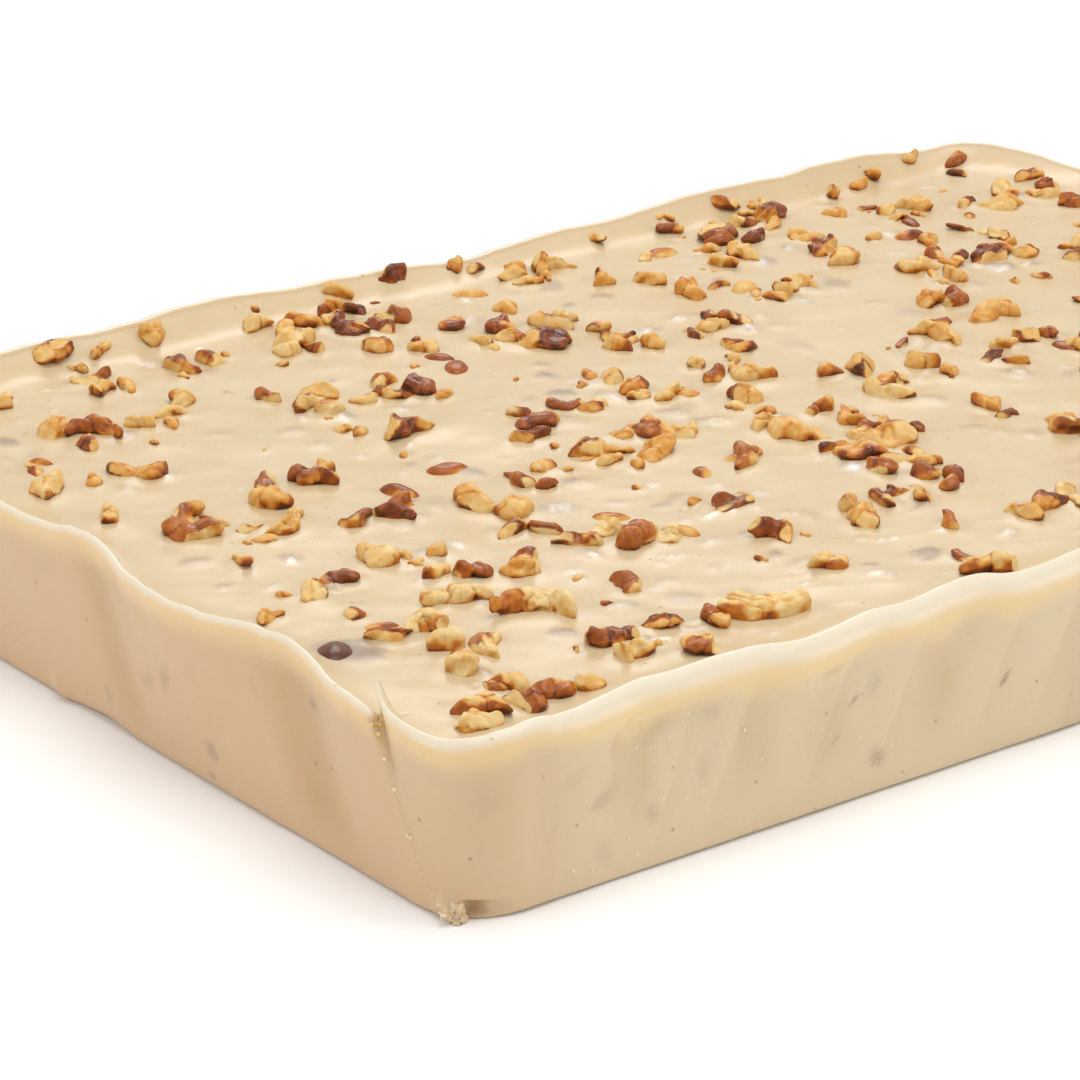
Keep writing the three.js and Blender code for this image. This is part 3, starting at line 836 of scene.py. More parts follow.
def blockSection(place):
    # inset from the outline and height of each level of the block, from its bottom edge over the crest to
    # the top, with the levels outside, the share of the top's waves at each, the crest and the horn
    horn, end, height = rimAt(place)
    wide, shoulderDrop, lipDrop = (ofWall(label, place) for label in ("rimWidth", "shoulder", "lipDrop"))
    thinning = np.where(place > foldAt, np.exp(-np.maximum(place - foldAt, 0) / fold["thinLength"]), horn)
    width = wide * (1 - fold["hornThinning"] * thinning - fold["endThinning"] * end)
    crestLine = np.stack([place, 0 * place], -1)
    wobble = 0
    for share, finer, seed in ((1, 1, 21), (0.5, 2.3, 22), (0.3, 5, 23)):
        wobble = wobble + share * noise(crestLine, wallForm["crestPitch"] / finer, seed)
    height = height + ofWall("jitter", place) * wobble
    gape = np.maximum(0, 1 - np.abs(place - slitAt) / fold["gapAtRim"])
    height = height - gape * (height - fold["gapBottom"])
    at, spread, extra = wallForm["lifted"]
    edge = slab["baseEdge"] + extra * bump(place, at, spread)
    insets, heights = [], []
    for angle in np.linspace(0, np.pi / 2, 5):
        insets.append(slab["wallLean"] + edge * (1 - np.sin(angle)))
        heights.append(edge * (1 - np.cos(angle)))
    shoulder = height - shoulderDrop
    foot = slab["footShare"]
    footShares = np.linspace(0, foot, slab["footRows"] + 1)[1:]
    for t in np.append(footShares, np.linspace(foot, 1, slab["wallRows"] + 1)[1:]):
        z = edge + (shoulder - edge) * t
        insets.append(slab["wallLean"] * (1 - z / slab["rimHeight"]))
        heights.append(z)
    for angle in np.linspace(0, np.pi / 2, slab["shoulderRows"] + 1)[1:]:
        insets.append(width * (1 - np.cos(angle)))
        heights.append(shoulder + shoulderDrop * np.sin(angle))
    outerLevels = len(insets)
    for share, drop in ((0.4, 0.1), (0.8, 0.42), (1, 1)):
        insets.append(width + slab["lipInset"] * share)
        heights.append(height - lipDrop * drop)
    lip = heights[-1]
    slope = np.linspace(0, 1, slab["slopeRows"] + 1)[1:] ** 1.4
    steep = slab["slopePower"] + fold["hornSteep"] * np.exp(-np.abs(place - foldAt) / fold["thinLength"])
    for t in slope:
        insets.append(width + (wide - width) * t + slab["lipInset"] + slab["slopeRun"] * t)
        heights.append(slab["pourLevel"] + (lip - slab["pourLevel"]) * (1 - t) ** steep)
    outer = np.arange(len(insets)) < outerLevels
    fade = np.concatenate([np.zeros(len(insets) - len(slope)), slope])
    return np.stack(insets, 1), np.stack(heights, 1), outer, fade, height[:, None], horn[:, None]


def sidesOf(ring):
    # near, right, far and left side of what goes round the top, each from left to right or near to far
    along, across = slab["columnsAlong"], slab["columnsAcross"]
    far = ring[along + across:2 * along + across + 1][::-1]
    return ring[:along + 1], ring[along:along + across + 1], far, ring[-np.arange(across + 1)]


def topPatch(ring):
    # grid of points inside the ring
    low, right, far, left = sidesOf(ring)
    u, v = np.linspace(0, 1, len(low))[:, None, None], np.linspace(0, 1, len(left))[None, :, None]
    patch = (1 - v) * low[:, None] + v * far[:, None] + (1 - u) * left[None] + u * right[None]
    patch -= (1 - u) * (1 - v) * low[0] + u * (1 - v) * low[-1] + (1 - u) * v * far[0] + u * v * far[-1]
    return patch[1:-1, 1:-1]


def blockFaces(count, levels, rows, columns):
    # rows of the walls, then the top, then the underside as a fan
    k = np.arange(count)[:, None]
    level = np.arange(levels - 1)[None]
    here, beside = k * levels + level, (k + 1) % count * levels + level
    quads = [np.stack([here, beside, beside + 1, here + 1], -1).reshape(-1, 4)]
    index = np.zeros((rows + 2, columns + 2), int)
    bottom = np.arange(count) * levels
    index[:, 0], index[-1, :], index[:, -1], index[0, :] = sidesOf(bottom + levels - 1)
    index[1:-1, 1:-1] = count * levels + np.arange(rows * columns).reshape(rows, columns)
    corners = [index[:-1, :-1], index[1:, :-1], index[1:, 1:], index[:-1, 1:]]
    quads.append(np.stack(corners, -1).reshape(-1, 4))
    fan = np.stack([np.roll(bottom, -1), bottom, np.full(count, count * levels + rows * columns)], -1)
    return np.concatenate(quads).tolist() + fan.tolist()


def makeFudge(material, pieces, sunken, smears):
    place = columnPlaces()
    inset, z, outer, fade, crest, horn = blockSection(place)
    places = np.repeat(place[:, None], len(outer), 1)
    high = np.minimum(1, z / slab["rimHeight"])
    lean = fold["hornLean"] * horn * smooth(*fold["leanFrom"], z) * (1 - fade)
    shifted = places + slantAt(places) * (slab["rimHeight"] - z) - lean
    gap = fold["gapOnWall"] + (fold["gapAtRim"] - fold["gapOnWall"]) * smooth(fold["opensAt"], 1, high)
    slit = np.maximum(0, 1 - np.abs(places - slitAt) / gap)
    slitDepth = fold["depthOnWall"] + fold["depthAtRim"] * smooth(fold["opensAt"], 1, high)
    relief, wallShade, pressedShade = wallRelief(places, shifted, z)
    ripple = rippleAt(places)
    out = ripple * high + spreadAt(shifted, high) - inset
    out -= fold["hornInset"] * horn * smooth(fold["hornFrom"], 1, high) * (1 - fade)
    out += np.where(outer, relief, 0) * smooth(0, 1.5, z) - np.where(outer, slit * slitDepth, 0)
    x, y, normalX, normalY = outlineAt(shifted)
    x, y = x + normalX * out, y + normalY * out
    # the slope down from the rim takes up the waves of the top
    waves, topShade, topGlint = topRelief(x, y, pieces, sunken, smears)
    z = z + waves * fade
    # the top between the innermost ring of points
    inner = topPatch(np.stack([x[:, -1], y[:, -1]], -1))
    innerWaves, innerShade, innerGlint = topRelief(inner[..., 0], inner[..., 1], pieces, sunken, smears)
    innerPoints = np.concatenate([inner, (slab["pourLevel"] + innerWaves)[..., None]], -1).reshape(-1, 3)
    points = np.concatenate([np.stack([x, y, z], -1).reshape(-1, 3), innerPoints, [[0, 0, 0]]])
    faces = blockFaces(*places.shape, *inner.shape[:2])
    # how the colour changes over the surface, with painted shade, glow, highlight and glints among it
    lost, spread = wallForm["cornerBand"]
    atCorner = 1 - lost * np.exp(-np.abs(np.mod(places + cornerRun, perimeter) - cornerRun / 2) / spread)
    highlightDepth, glowDepth = ofWall("highlightBand", places) * atCorner, ofWall("glowBand", places) * atCorner
    # the long walls' paler tint, and the painted shade that makes the short walls darker and pinker
    pale, sideShade = (np.where(outer, ofWall(label, places), 0) for label in ("pale", "sideShade"))
    streakAlong, streakUp = wallForm["streakPitch"]
    streaks = noise(np.stack([shifted / streakAlong, z / streakUp], -1), 1, 16) * pale
    # the golden streaks draw the painted glow further down the wall
    glowDepth = glowDepth * (1 + wallForm["streakGlow"] * np.maximum(streaks, 0))
    seen = ofWall("innerHighlight", places)  # the far rim is as plain as the top
    # painted highlight, nearly white, on the crest's thin edge and on the inner lip
    crestHighlight = np.where(outer, smooth(-highlightDepth, -0.2 * highlightDepth, z - crest), seen * (1 - fade) ** 6)
    # painted glow of light through the rim, golden below the crest
    glowFull = ofWall("glowFull", places)
    glow = np.where(outer, smooth(-glowDepth, -glowFull * glowDepth, z - crest), seen * (1 - fade) ** 2)
    # painted shade in the hollows: the valleys of the ripples, the flutes, the band under the arch, and some
    # on the golden streaks
    hollowShade = smooth(0.3, 2.6, -ripple) * smooth(0.1, 0.5, high) * (1 - sideShade)
    hollowShade += smooth(0.1, 1.9, -ripple) * smooth(0.02, 0.3, high) * sideShade
    hollowShade += wallForm["fluteShade"] * pressedShade
    hollowShade += wallForm["streakTint"] * smooth(0.1, 0.8, streaks) * smooth(0.1, 0.6, high)
    hollowShade = hollowShade * ofWall("tint", places)
    # painted shade in the slit of the fold, in the hollows' colour
    inSlit = smooth(*fold["slitShadeFrom"], z) * (1 - smooth(*fold["slitShadeTo"], z))
    inSlit = inSlit * bump(places, slitAt, 1.6 * fold["gapAtRim"])
    hollowShade = np.where(outer, np.maximum(np.clip(hollowShade, 0, 1) * (1 - glow), 1.4 * inSlit), 0)
    crestHighlight, glow = crestHighlight * (1 - inSlit), glow * (1 - inSlit)
    wallShade = wallShade + wallForm["streakShade"] * smooth(0.1, 0.8, -streaks)
    shade = np.where(outer, wallShade * (1 - crestHighlight), topShade * fade)
    # painted glints on the smears of the top, which the material also makes glossier
    glossAndGlint = np.where(outer, 0, topGlint * fade)
    onWalls = {"pale": pale, "sideShade": sideShade, "hollowShade": hollowShade, "sunken": shade, "glow": glow, "crest": crestHighlight,
               "glossAndGlint": glossAndGlint}
    onTop = {"sunken": innerShade, "glossAndGlint": innerGlint}
    plain = np.zeros(len(innerPoints))
    attributes = {}
    for label, strength in fudgeLook["strengths"].items():
        shares = np.concatenate([onWalls[label].ravel(), onTop.get(label, plain).ravel(), [0]])
        attributes[label] = strength * shares
    skin = {"place": np.mod(shifted, perimeter)[:, outer].ravel(), "z": z[:, outer].ravel(),
            "points": np.stack([x, y, z], -1)[:, outer].reshape(-1, 3)}
    return addMesh("fudge", points, faces, material, attributes), skin


# the pecans

lobeForm = {
    "pitch": 4.4,  # mm of a piece's length for each lobe
    "blend": 0.42,  # mm, how softly the lobes meet
    "warp": 0.5,  # mm
    "warpPitch": 5.0,
    "nearStep": 0.28,  # mm, of the mesh
    "farStep": 0.52,
    "nearSkinSpan": 0.17,  # how gently the skin runs out, in half sizes
    "skinSpan": 0.4,
    "mostLobes": 6,
    "tilts": (0.7, 0.3),  # radians in all, about its length and across it
    "flushTilt": 0.15,  # share of the tilt
    "nearToast": 0.02,
    "farToast": 0.08,
    "seed": 5000,
}

# skin, roughness, roast and painted underside shade of each piece, with pitches and depths in mm
pecanFinish = {
    "skinSide": 0.9,  # the skin keeps to one side
    "skinLobe": 0.4,  # and to some of the lobes
    "skinPatches": ((3.2, 0.45, 0), (1.2, 0.2, 300)),  # pitch, share and seed of each size of patch
    "lumpPitch": 3.6,
    "lump": 0.95,
    "patchPitch": 4.5,
    "grains": ((1.7, 0.2, 900), (0.8, 0.08, 1200)),  # pitch, depth and seed
    "crackDepth": 0.1,
    "furrowDepth": 0.2,
    "edgeShade": 0.75,  # dark lines at the breaks, the furrows and the cracks
    "furrowShade": 0.35,
    "crackShade": 0.2,
    "darkest": 0.85,
    "toneRoast": 0.3,
    "skinRoast": 0.52,
    "furrowDarkening": 0.2,
    "undersideShade": 0.36,
    "freshPaler": 0.35,
    "tones": (0.3, 1),
    "creamTone": 0.52,  # where one kind of piece goes over into the next
    "mixedSkin": 0.36,
    "fullSkin": 0.72,
}


def direction(azimuth, elevation):
    flat = math.cos(elevation)
    return np.array([flat * math.cos(azimuth), flat * math.sin(azimuth), math.sin(elevation)])


def turned(points, turns):
    # points after turns about axes: first axis, second axis and angle of each
    points = points.copy()
    for a, b, angle in turns:
        c, s = math.cos(angle), math.sin(angle)
        points[:, a], points[:, b] = points[:, a] * c - points[:, b] * s, points[:, a] * s + points[:, b] * c
    return points


def pecanForm(piece, draw):
    # rounded lobes to both sides of the middle and the breaks across them, lying along X
    half = np.array([piece["length"], piece["width"], piece["height"]]) / 2
    flush = "sunk" in piece  # only its rounded back shows
    lobeCount = 1 if flush else round(piece["length"] / lobeForm["pitch"] + 1.4 * draw() - 0.2)
    count = max(1, min(lobeForm["mostLobes"], lobeCount))
    lobes = []
    for i in range(count):
        jitter = np.array([draw(), draw(), draw()]) - 0.5
        x = ((2 * i + 1) / count - 1) * 0.8 + 0.5 * jitter[0] / count
        y = (0.12 + 0.42 * draw()) * (1 if i % 2 else -1) if count > 1 else 0
        sizes = half * (0.42 + 0.3 * draw() + 0.5 / count, 0.58 + 0.35 * draw(), 0.65 + 0.4 * draw())
        turns = [(0, 1, 1.0 * (draw() - 0.5)), (0, 2, 0.7 * (draw() - 0.5))]
        lobes.append((half * (x, y, 0.35 * jitter[2]), sizes, turns))
    breaks = []
    for _ in range(int(1 + 2.7 * draw()) if piece["length"] > 4.5 and not flush else 0):
        normal = direction(2 * math.pi * draw(), math.radians(-10 + 80 * draw()))
        breaks.append((normal, np.linalg.norm(normal * half) * (0.5 + 0.4 * draw())))
    curl = (draw() - 0.5) * (2.6 if draw() < 0.3 else 1) / piece["length"] * half[1] / 2
    if flush:
        lobes, curl = [(0 * half, half, [])], 0
    waves = np.array([[draw() - 0.5 for _ in range(3)] for _ in range(3)]) * 4 * np.pi / lobeForm["warpPitch"]
    phases = np.array([draw() for _ in range(3)]) * 2 * np.pi
    soft = min(1, piece["height"] / 3.5) * (0.3 if flush else 1)  # a small chip is worn less
    return {"half": half, "lobes": lobes, "breaks": breaks, "curl": curl, "waves": waves, "phases": phases,
            "soft": soft}


def pecanDistance(points, form):
    # distance to the lump, to each lobe, and how far a break lies outside the lobes
    bent = points + lobeForm["warp"] * form["soft"] * np.sin(points @ form["waves"] + form["phases"])
    cut = np.full(len(points), -9.0)
    for normal, depth in form["breaks"]:
        cut = np.maximum(cut, bent @ normal - depth)
    bent[:, 1] -= form["curl"] * (points[:, 0] ** 2 - form["half"][0] ** 2 / 3)
    each = []
    for middle, sizes, turns in form["lobes"]:
        away = turned(bent - middle, turns)
        scaled = np.linalg.norm(away / sizes, axis=-1)
        each.append(scaled * (scaled - 1) / (np.linalg.norm(away / sizes**2, axis=-1) + 1e-9))
    each = np.array(each)
    blend = lobeForm["blend"] * form["soft"]
    body = -blend * np.log(np.sum(np.exp(-each / blend), 0))
    return np.maximum(body, cut), each, cut - body


def surfaceNet(distance, corner, step):
    # points and squares on the zero level of a grid of distances
    inside = distance < 0
    offsets = np.array(list(np.ndindex(2, 2, 2)))
    shape = np.array(inside.shape) - 1
    held = sum(inside[tuple(slice(o, o + n) for o, n in zip(offset, shape))].astype(int)
               for offset in offsets)
    active = (held > 0) & (held < 8)
    cells = np.argwhere(active)
    number = np.full(shape, -1)
    number[active] = np.arange(len(cells))
    total, crossings = np.zeros((len(cells), 3)), np.zeros(len(cells))
    for begin in offsets:
        for axis in np.flatnonzero(begin == 0):
            end = begin + np.eye(3, dtype=int)[axis]
            a, b = (distance[tuple((cells + o).T)] for o in (begin, end))
            crossed = (a < 0) != (b < 0)
            share = np.where(crossed, a / np.where(crossed, a - b, 1), 0)
            total += np.where(crossed[:, None], begin + share[:, None] * (end - begin), 0)
            crossings += crossed
    points = corner + step * (cells + total / crossings[:, None])
    quads = []
    for axis in range(3):
        one, two = (axis + 1) % 3, (axis + 2) % 3
        ends = np.moveaxis(inside, (axis, one, two), (0, 1, 2))[:, 1:-1, 1:-1]
        numbers = np.moveaxis(number, (axis, one, two), (0, 1, 2))
        for outward, changes in ((True, ends[:-1] & ~ends[1:]), (False, ~ends[:-1] & ends[1:])):
            i, j, k = np.nonzero(changes)
            around = [numbers[i, j, k], numbers[i, j + 1, k], numbers[i, j + 1, k + 1], numbers[i, j, k + 1]]
            quads.append(np.stack(around if outward else around[::-1], -1))
    return points, np.concatenate(quads)


def worn(distance):
    # each distance averaged with its neighbours, which takes off thin tips
    for axis in range(3):
        distance = (np.roll(distance, 1, axis) + 2 * distance + np.roll(distance, -1, axis)) / 4
    return distance


def shapePecan(piece, index, step, ground, skinSpan):
    # one chopped piece of roasted pecan, with skin on part of its lobes
    look = pecanFinish
    draw = seededRandom(lobeForm["seed"] + index)
    form = pecanForm(piece, draw)
    half = form["half"]
    reach = 1.25 * half + 3 * step
    reach[1] += 1.3 * abs(form["curl"]) * half[0] ** 2
    axes = [np.arange(-r, r + step, step) for r in reach]
    grid = np.stack(np.meshgrid(*axes, indexing="ij"), -1)
    distance = pecanDistance(grid.reshape(-1, 3), form)[0].reshape(grid.shape[:3])
    for _ in range(min(2, int(piece["height"] / step / 5))):
        distance = worn(distance)
    points, quads = surfaceNet(distance, -reach, step)
    _, each, beyond = pecanDistance(points, form)
    nudges = 0.05 * np.eye(3)
    normals = np.stack([pecanDistance(points + nudge, form)[0] - pecanDistance(points - nudge, form)[0]
                        for nudge in nudges], -1)
    normals /= np.linalg.norm(normals, axis=1, keepdims=True) + 1e-9
    order = np.sort(each, 0)
    apart = order[1] - order[0] if len(each) > 1 else np.full(len(points), 9.0)
    fresh = smooth(-0.1, 0.1, beyond)
    furrow = (1 - smooth(0.03, 0.4, apart)) * (1 - fresh)
    # the skin keeps to one side and to some of the lobes, and covers the right share of what shows
    grain = points + 50
    aims = points / half
    flags = np.array([draw() < piece["skin"] for _ in each]) - 0.5
    skinSide = direction(2 * math.pi * draw(), math.radians(-50 + 110 * piece["skin"]))
    field = look["skinSide"] * aims @ skinSide + look["skinLobe"] * flags[np.argmin(each, 0)]
    field += sum(share * noise(grain, pitch, index + seed) for pitch, share, seed in look["skinPatches"])
    field -= np.quantile(field[aims[:, 2] > -0.2], 1 - piece["skin"])
    covered = smooth(-skinSpan, skinSpan, field) * (1 - fresh)  # the skin thins out towards its edge
    lumps = np.abs(noise(grain, look["lumpPitch"], index + 600))
    patchy = smooth(-0.25, 0.35, noise(grain, look["patchPitch"], index + 650))
    cracks = (1 - smooth(0.0, 0.1, lumps)) * patchy * (1 - covered) * (1 - 0.7 * fresh)
    edge = look["edgeShade"] * bump(beyond, 0, 0.13) * smooth(-0.3, 0.3, field)
    edge += look["furrowShade"] * patchy * (1 - smooth(0.02, 0.2, apart)) * (1 - fresh)
    edge = np.clip(edge + look["crackShade"] * cracks, 0, look["darkest"])
    rough = look["lump"] * (np.minimum(lumps, 0.5) - 0.25) * (1 - 0.6 * fresh)
    rough += sum(depth * noise(grain, pitch, index + seed) for pitch, depth, seed in look["grains"])
    rough = rough * (1 - 0.45 * covered) - look["crackDepth"] * cracks - look["furrowDepth"] * furrow
    points = points + normals * (rough * form["soft"])[:, None]
    middle, size = (points.max(0) + points.min(0)) / 2, (points.max(0) - points.min(0)) / 2
    points = (points - middle) / size * half
    # it lies tilted a little, gets painted shade where it faces down, and is darker in its furrows
    tilt = lobeForm["flushTilt"] if "sunk" in piece else 1
    roll, pitch = (whole * tilt * (draw() - 0.5) for whole in lobeForm["tilts"])
    turns = ((1, 2, roll), (0, 2, pitch), (0, 1, math.radians(piece["turn"])))
    points, up = turned(points, turns), turned(normals, turns)[:, 2]
    # painted shade where the piece faces down
    low = 1 - smooth(-0.55, 0.05, up + 0.4 * noise(grain, 2.2, index + 1700))
    roastAndShade = piece["toast"] + look["toneRoast"] * piece["tone"] + 0.1 * (draw() - 0.5)
    roastAndShade = (roastAndShade + 0.1 * noise(grain, 2.4, index + 1500)) * (1 - look["freshPaler"] * fresh)
    roastAndShade += look["skinRoast"] * covered + look["furrowDarkening"] * furrow + look["undersideShade"] * low
    sunk = piece.get("sunk", pecan["sunkShare"])
    points += (piece["x"], piece["y"], ground + piece["height"] * (0.5 - sunk))
    return points, quads, {"roastAndShade": np.clip(roastAndShade, 0, 1), "edge": edge}


def joinPieces(name, material, parts):
    # parts: points, quads and attributes of each
    offsets = np.concatenate([[0], np.cumsum([len(points) for points, _, _ in parts])])
    points = np.concatenate([points for points, _, _ in parts])
    quads = np.concatenate([faces + offset for (_, faces, _), offset in zip(parts, offsets)])
    attributes = {label: np.concatenate([values[label] for _, _, values in parts]) for label in parts[0][2]}
    return addMesh(name, points, quads.tolist(), material, attributes)


def skinShareFor(draw):
    # about half of the pieces are mostly golden, a third mostly brown
    kind, share = draw(), draw()
    if kind < 0.45:
        return 0.28 * share
    return 0.65 + 0.35 * share if kind < 0.8 else 0.28 + 0.37 * share


def groundAt(x, y):
    sides = (slab["width"] / 2 + y, slab["length"] / 2 - x, slab["width"] / 2 - y, slab["length"] / 2 + x)
    fromEdge = min(side - wall["rimWidth"] - slab["lipInset"] for side, wall in zip(sides, walls))
    step = min(max(fromEdge / slab["slopeRun"], 0), 1)
    rise = (slab["rimHeight"] - 1 - slab["pourLevel"]) * (1 - step) ** slab["slopePower"]
    wave = topRelief(np.array([x]), np.array([y]), [], [], [])[0][0]
    return slab["pourLevel"] + rise + wave * step


def makePecans(material, pieces):
    draw = seededRandom(pecan["seed"] + 77)
    kinds = {"pecanCream": [], "pecanGolden": [], "pecanMixed": [], "pecanSkinned": []}
    for index, piece in enumerate(pieces):
        piece.setdefault("skin", skinShareFor(draw))
        piece.setdefault("tone", between(pecanFinish["tones"], draw()))
        near = index < len(nearPecans)
        piece["toast"] = lobeForm["nearToast"] if near else lobeForm["farToast"]
        step = lobeForm["nearStep"] if near else min(lobeForm["farStep"], piece["height"] / 4.6)
        skinSpan = lobeForm["nearSkinSpan"] if near else lobeForm["skinSpan"]
        part = shapePecan(piece, index, step, groundAt(piece["x"], piece["y"]), skinSpan)
        kind = "pecanCream" if piece["tone"] < pecanFinish["creamTone"] else "pecanGolden"
        if piece["skin"] > pecanFinish["mixedSkin"]:
            kind = "pecanSkinned" if piece["skin"] > pecanFinish["fullSkin"] else "pecanMixed"
        kinds[kind].append(part)
    return [joinPieces(name, material, parts) for name, parts in kinds.items()]


# crumbs of fudge

crumbForm = {
    # paler than the block, partly as a painted highlight
    "colour": "eedfc2",
    "kinds": 5,
    "onFold": 30,
    "foldHeights": (2, 33),
    "foldSizes": (0.14, 0.42),
    "clumps": [(14, 5), (26.5, 3), (21, 2)],  # height and count of crumbs in a clump on the fold
    "clumpSizes": (0.4, 0.8),
    "onWall": 100,
    "wallPlaces": (4, 79),  # mm along the near long wall
    "wallHeights": (3, 30),
    "wallSizes": (0.28, 0.75),
    "atFoot": 26,
    "footPlaces": (-21, -17.6),  # from the near corner's end
    "footHeights": (0.4, 3.8),
    "footSizes": (0.25, 0.75),
    "inSlit": 8,  # golden bits of pecan
    "slitHeights": (30, 33.4),
    "slitSizes": (0.4, 1.0),
    "seed": 57,
}

knobForm = {
    "place": -18.1,  # from the near corner's end, mm
    "z": 1.9,
    "inward": 1.7,  # how deep it sits
    "half": (1.9, 1.9, 2.1),
    "torn": ((1.6, 0.65), (0.7, 0.5)),  # pitch and reach of its roughness, mm
    "step": 0.16,
    "lowest": 0.02,
    "seed": 83,
}


def onSkin(skin, place, z):
    # the wall's nearest point to a place and a height, and the directions out of the wall and along it
    nearest = np.argmin((skin["place"] - place) ** 2 + (skin["z"] - z) ** 2)
    _, _, normalX, normalY = (value[0] for value in outlineAt(np.array([place])))
    return nearest, np.array([normalX, normalY, 0]), np.array([-normalY, normalX, 0])


def makeKnob(material, skin):
    # lump of torn fudge on the foot of the fold
    half = np.array(knobForm["half"])
    reach = half + 1.5
    axes = [np.arange(-r, r, knobForm["step"]) for r in reach]
    grid = np.stack(np.meshgrid(*axes, indexing="ij"), -1)
    distance = (np.linalg.norm(grid / half, axis=-1) - 1) * half.min()
    for pitch, size in knobForm["torn"]:
        distance += size * noise(grid + 40, pitch, knobForm["seed"])
    points, quads = surfaceNet(distance, -reach, knobForm["step"])
    nearest, outward, _ = onSkin(skin, perimeter + knobForm["place"], knobForm["z"])
    points = points + skin["points"][nearest] - knobForm["inward"] * outward
    points[:, 2] = np.maximum(points[:, 2], knobForm["lowest"])
    even = np.ones(len(points))
    # it takes some of the long walls' tint and of the short walls' painted shade
    return addMesh("fudgeKnob", points, quads.tolist(), material, {"pale": 0.5 * even, "sideShade": 0.35 * even})


def crumbledFudge():
    # dry sugar: matt and paler than the block, the paleness partly a painted highlight on the flakes
    material, tree, surface, _ = startMaterial("crumbledFudge")
    setInputs(tree, surface, {"Base Color": linear(crumbForm["colour"]), "Roughness": 0.7, "IOR": 1.46})
    return material


def onFold(z):
    # the fold's place along the outline at that height
    return slitAt + slab["shortSlant"] * (slab["rimHeight"] - z)


def makeCrumbs(material, pecanMaterial, skin):
    # pale crumbs in the fold, on the near long wall and at the near corner's foot, golden ones in the slit
    draw = seededRandom(crumbForm["seed"])
    axis = np.linspace(-0.8, 0.8, 7)
    grid = np.stack(np.meshgrid(axis, axis, axis, indexing="ij"), -1)
    forms = []
    for kind in range(crumbForm["kinds"]):
        distance = np.linalg.norm(grid, axis=-1) - 0.5 - 0.14 * noise(grid + 20, 0.6, kind + 70)
        forms.append(surfaceNet(distance, np.full(3, axis[0]), axis[1] - axis[0]))
    spots = []
    for _ in range(crumbForm["onFold"]):
        z = between(crumbForm["foldHeights"], draw())
        place = onFold(z) + 1.6 * (draw() - 0.5) * draw()
        spots.append((place, z, between(crumbForm["foldSizes"], draw() ** 2)))
    for z, count in crumbForm["clumps"]:
        spots += [(onFold(z) + 1.2 * draw() - 0.6, z + draw() - 0.5, between(crumbForm["clumpSizes"], draw()))
                  for _ in range(count)]
    for label, count, start in (("wall", crumbForm["onWall"], 0), ("foot", crumbForm["atFoot"], perimeter)):
        for _ in range(count):
            place = start + between(crumbForm[label + "Places"], draw())
            z = between(crumbForm[label + "Heights"], draw())
            spots.append((place, z, between(crumbForm[label + "Sizes"], draw() ** 2)))
    pale = len(spots)
    for _ in range(crumbForm["inSlit"]):
        z = between(crumbForm["slitHeights"], draw())
        gap = 0.4 + 0.4 * (z - crumbForm["slitHeights"][0])
        place = onFold(z) + (draw() - 0.5) * gap
        spots.append((place, z, between(crumbForm["slitSizes"], draw())))
    parts = []
    for place, z, size in spots:
        nearest, _, sideways = onSkin(skin, place, z)
        spot = skin["points"][nearest] + (place - skin["place"][nearest]) * sideways
        spot[2] += z - skin["z"][nearest]
        points, quads = forms[int(draw() * len(forms))]
        points = turned(points * size, ((0, 1, 6 * draw()), (1, 2, 6 * draw()))) + spot
        even = np.ones(len(points))
        parts.append((points, quads, {"roastAndShade": 0.3 * draw() * even, "edge": 0 * even}))
    return [joinPieces("fudgeCrumbs", material, parts[:pale]),
            joinPieces("pecanCrumbs", pecanMaterial, parts[pale:])]


# light, floor and camera

studio = {
    "floor": "ffffff",
    "floorSize": 12,  # metres
    "floorDrop": 0.05,  # mm under the slab
    "world": 0.64,
    # place and aim in metres, size in metres, watts, colour
    "lights": {
        "overhead": ((0.1, -0.2, 1.5), (0, 0, 0), (1.2, 1.2), 11.5, "fffdf8"),
        "back": ((0.66, 0.9, 0.95), (0, 0, 0.03), (0.6, 0.35), 3.5, "ffffff"),
        "front": ((1.3, -1.2, 0.6), (0, 0, 0.02), (0.6, 0.6), 4, "ffffff"),
        "left": ((-1.4, 0.3, 0.7), (0, 0, 0.02), (1.0, 0.7), 3.4, "f6f9ff"),
    },
}

# the camera: where it stands in mm, how far it looks down and turns to the right in degrees
view = {"place": (-561.4, -653.5, 331.9), "down": 21.12, "right": 37.52, "lens": 143.9, "sensor": 36}


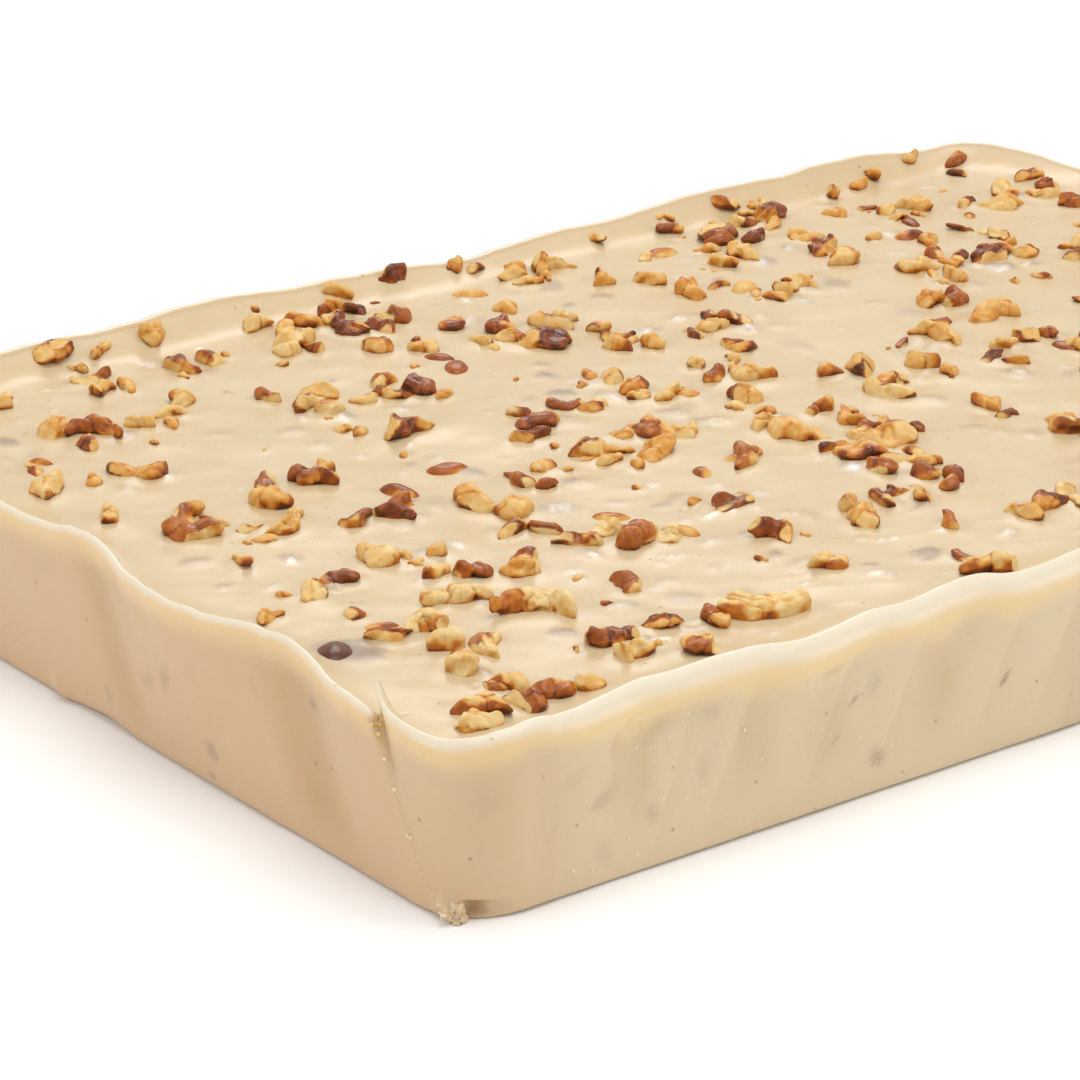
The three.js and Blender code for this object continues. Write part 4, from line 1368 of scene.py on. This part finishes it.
def makeStudio():
    scene = bpy.context.scene
    world = bpy.data.worlds.new("studioWhite")
    world.use_nodes = True
    world.node_tree.nodes["Background"].inputs["Color"].default_value = (1, 1, 1, 1)
    world.node_tree.nodes["Background"].inputs["Strength"].default_value = studio["world"]
    scene.world = world
    scene.view_settings.view_transform = "Standard"
    for name, (place, aim, size, watts, colour) in studio["lights"].items():
        lamp = bpy.data.lights.new(name, "AREA")
        lamp.shape = "RECTANGLE"
        lamp.size, lamp.size_y = size
        lamp.energy = watts
        lamp.color = linear(colour)[:3]
        light = bpy.data.objects.new(name, lamp)
        light.location = place
        toward = np.array(aim) - np.array(place)
        flat = math.hypot(toward[0], toward[1])
        light.rotation_euler = (math.atan2(flat, -toward[2]), 0, math.atan2(-toward[0], toward[1]))
        scene.collection.objects.link(light)
    floorMaterial, tree, surface, _ = startMaterial("paintedFloor")  # matt white paint, even and pale
    setInputs(tree, surface, {"Base Color": linear(studio["floor"]), "Roughness": 0.9})
    half = studio["floorSize"] / 2 / mm
    corners = [(x * half, y * half, -studio["floorDrop"]) for x, y in ((-1, -1), (1, -1), (1, 1), (-1, 1))]
    addMesh("floor", corners, [[0, 1, 2, 3]], floorMaterial, {})
    camera = bpy.data.cameras.new("camera")
    camera.lens, camera.sensor_width = view["lens"], view["sensor"]
    eye = bpy.data.objects.new("camera", camera)
    eye.location = np.array(view["place"]) * mm
    eye.rotation_euler = (math.radians(90 - view["down"]), 0, math.radians(-view["right"]))
    scene.collection.objects.link(eye)
    scene.camera = eye


makeStudio()
print("studio set")
pieces = placePecans()
sunken = placeSunken()
setFudge = boiledFudge()
fudge, skin = makeFudge(setFudge, pieces, sunken, placeSmears(sunken))
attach(fudge, "root")
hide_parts("fudge_slab")
print("fudge poured:", len(fudge.data.polygons), "faces")
pecanFlesh = choppedPecan()
knob = makeKnob(setFudge, skin)
for group in makePecans(pecanFlesh, pieces) + makeCrumbs(crumbledFudge(), pecanFlesh, skin) + [knob]:
    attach(group, "root")
    print("set:", group.name, len(group.data.polygons), "faces")
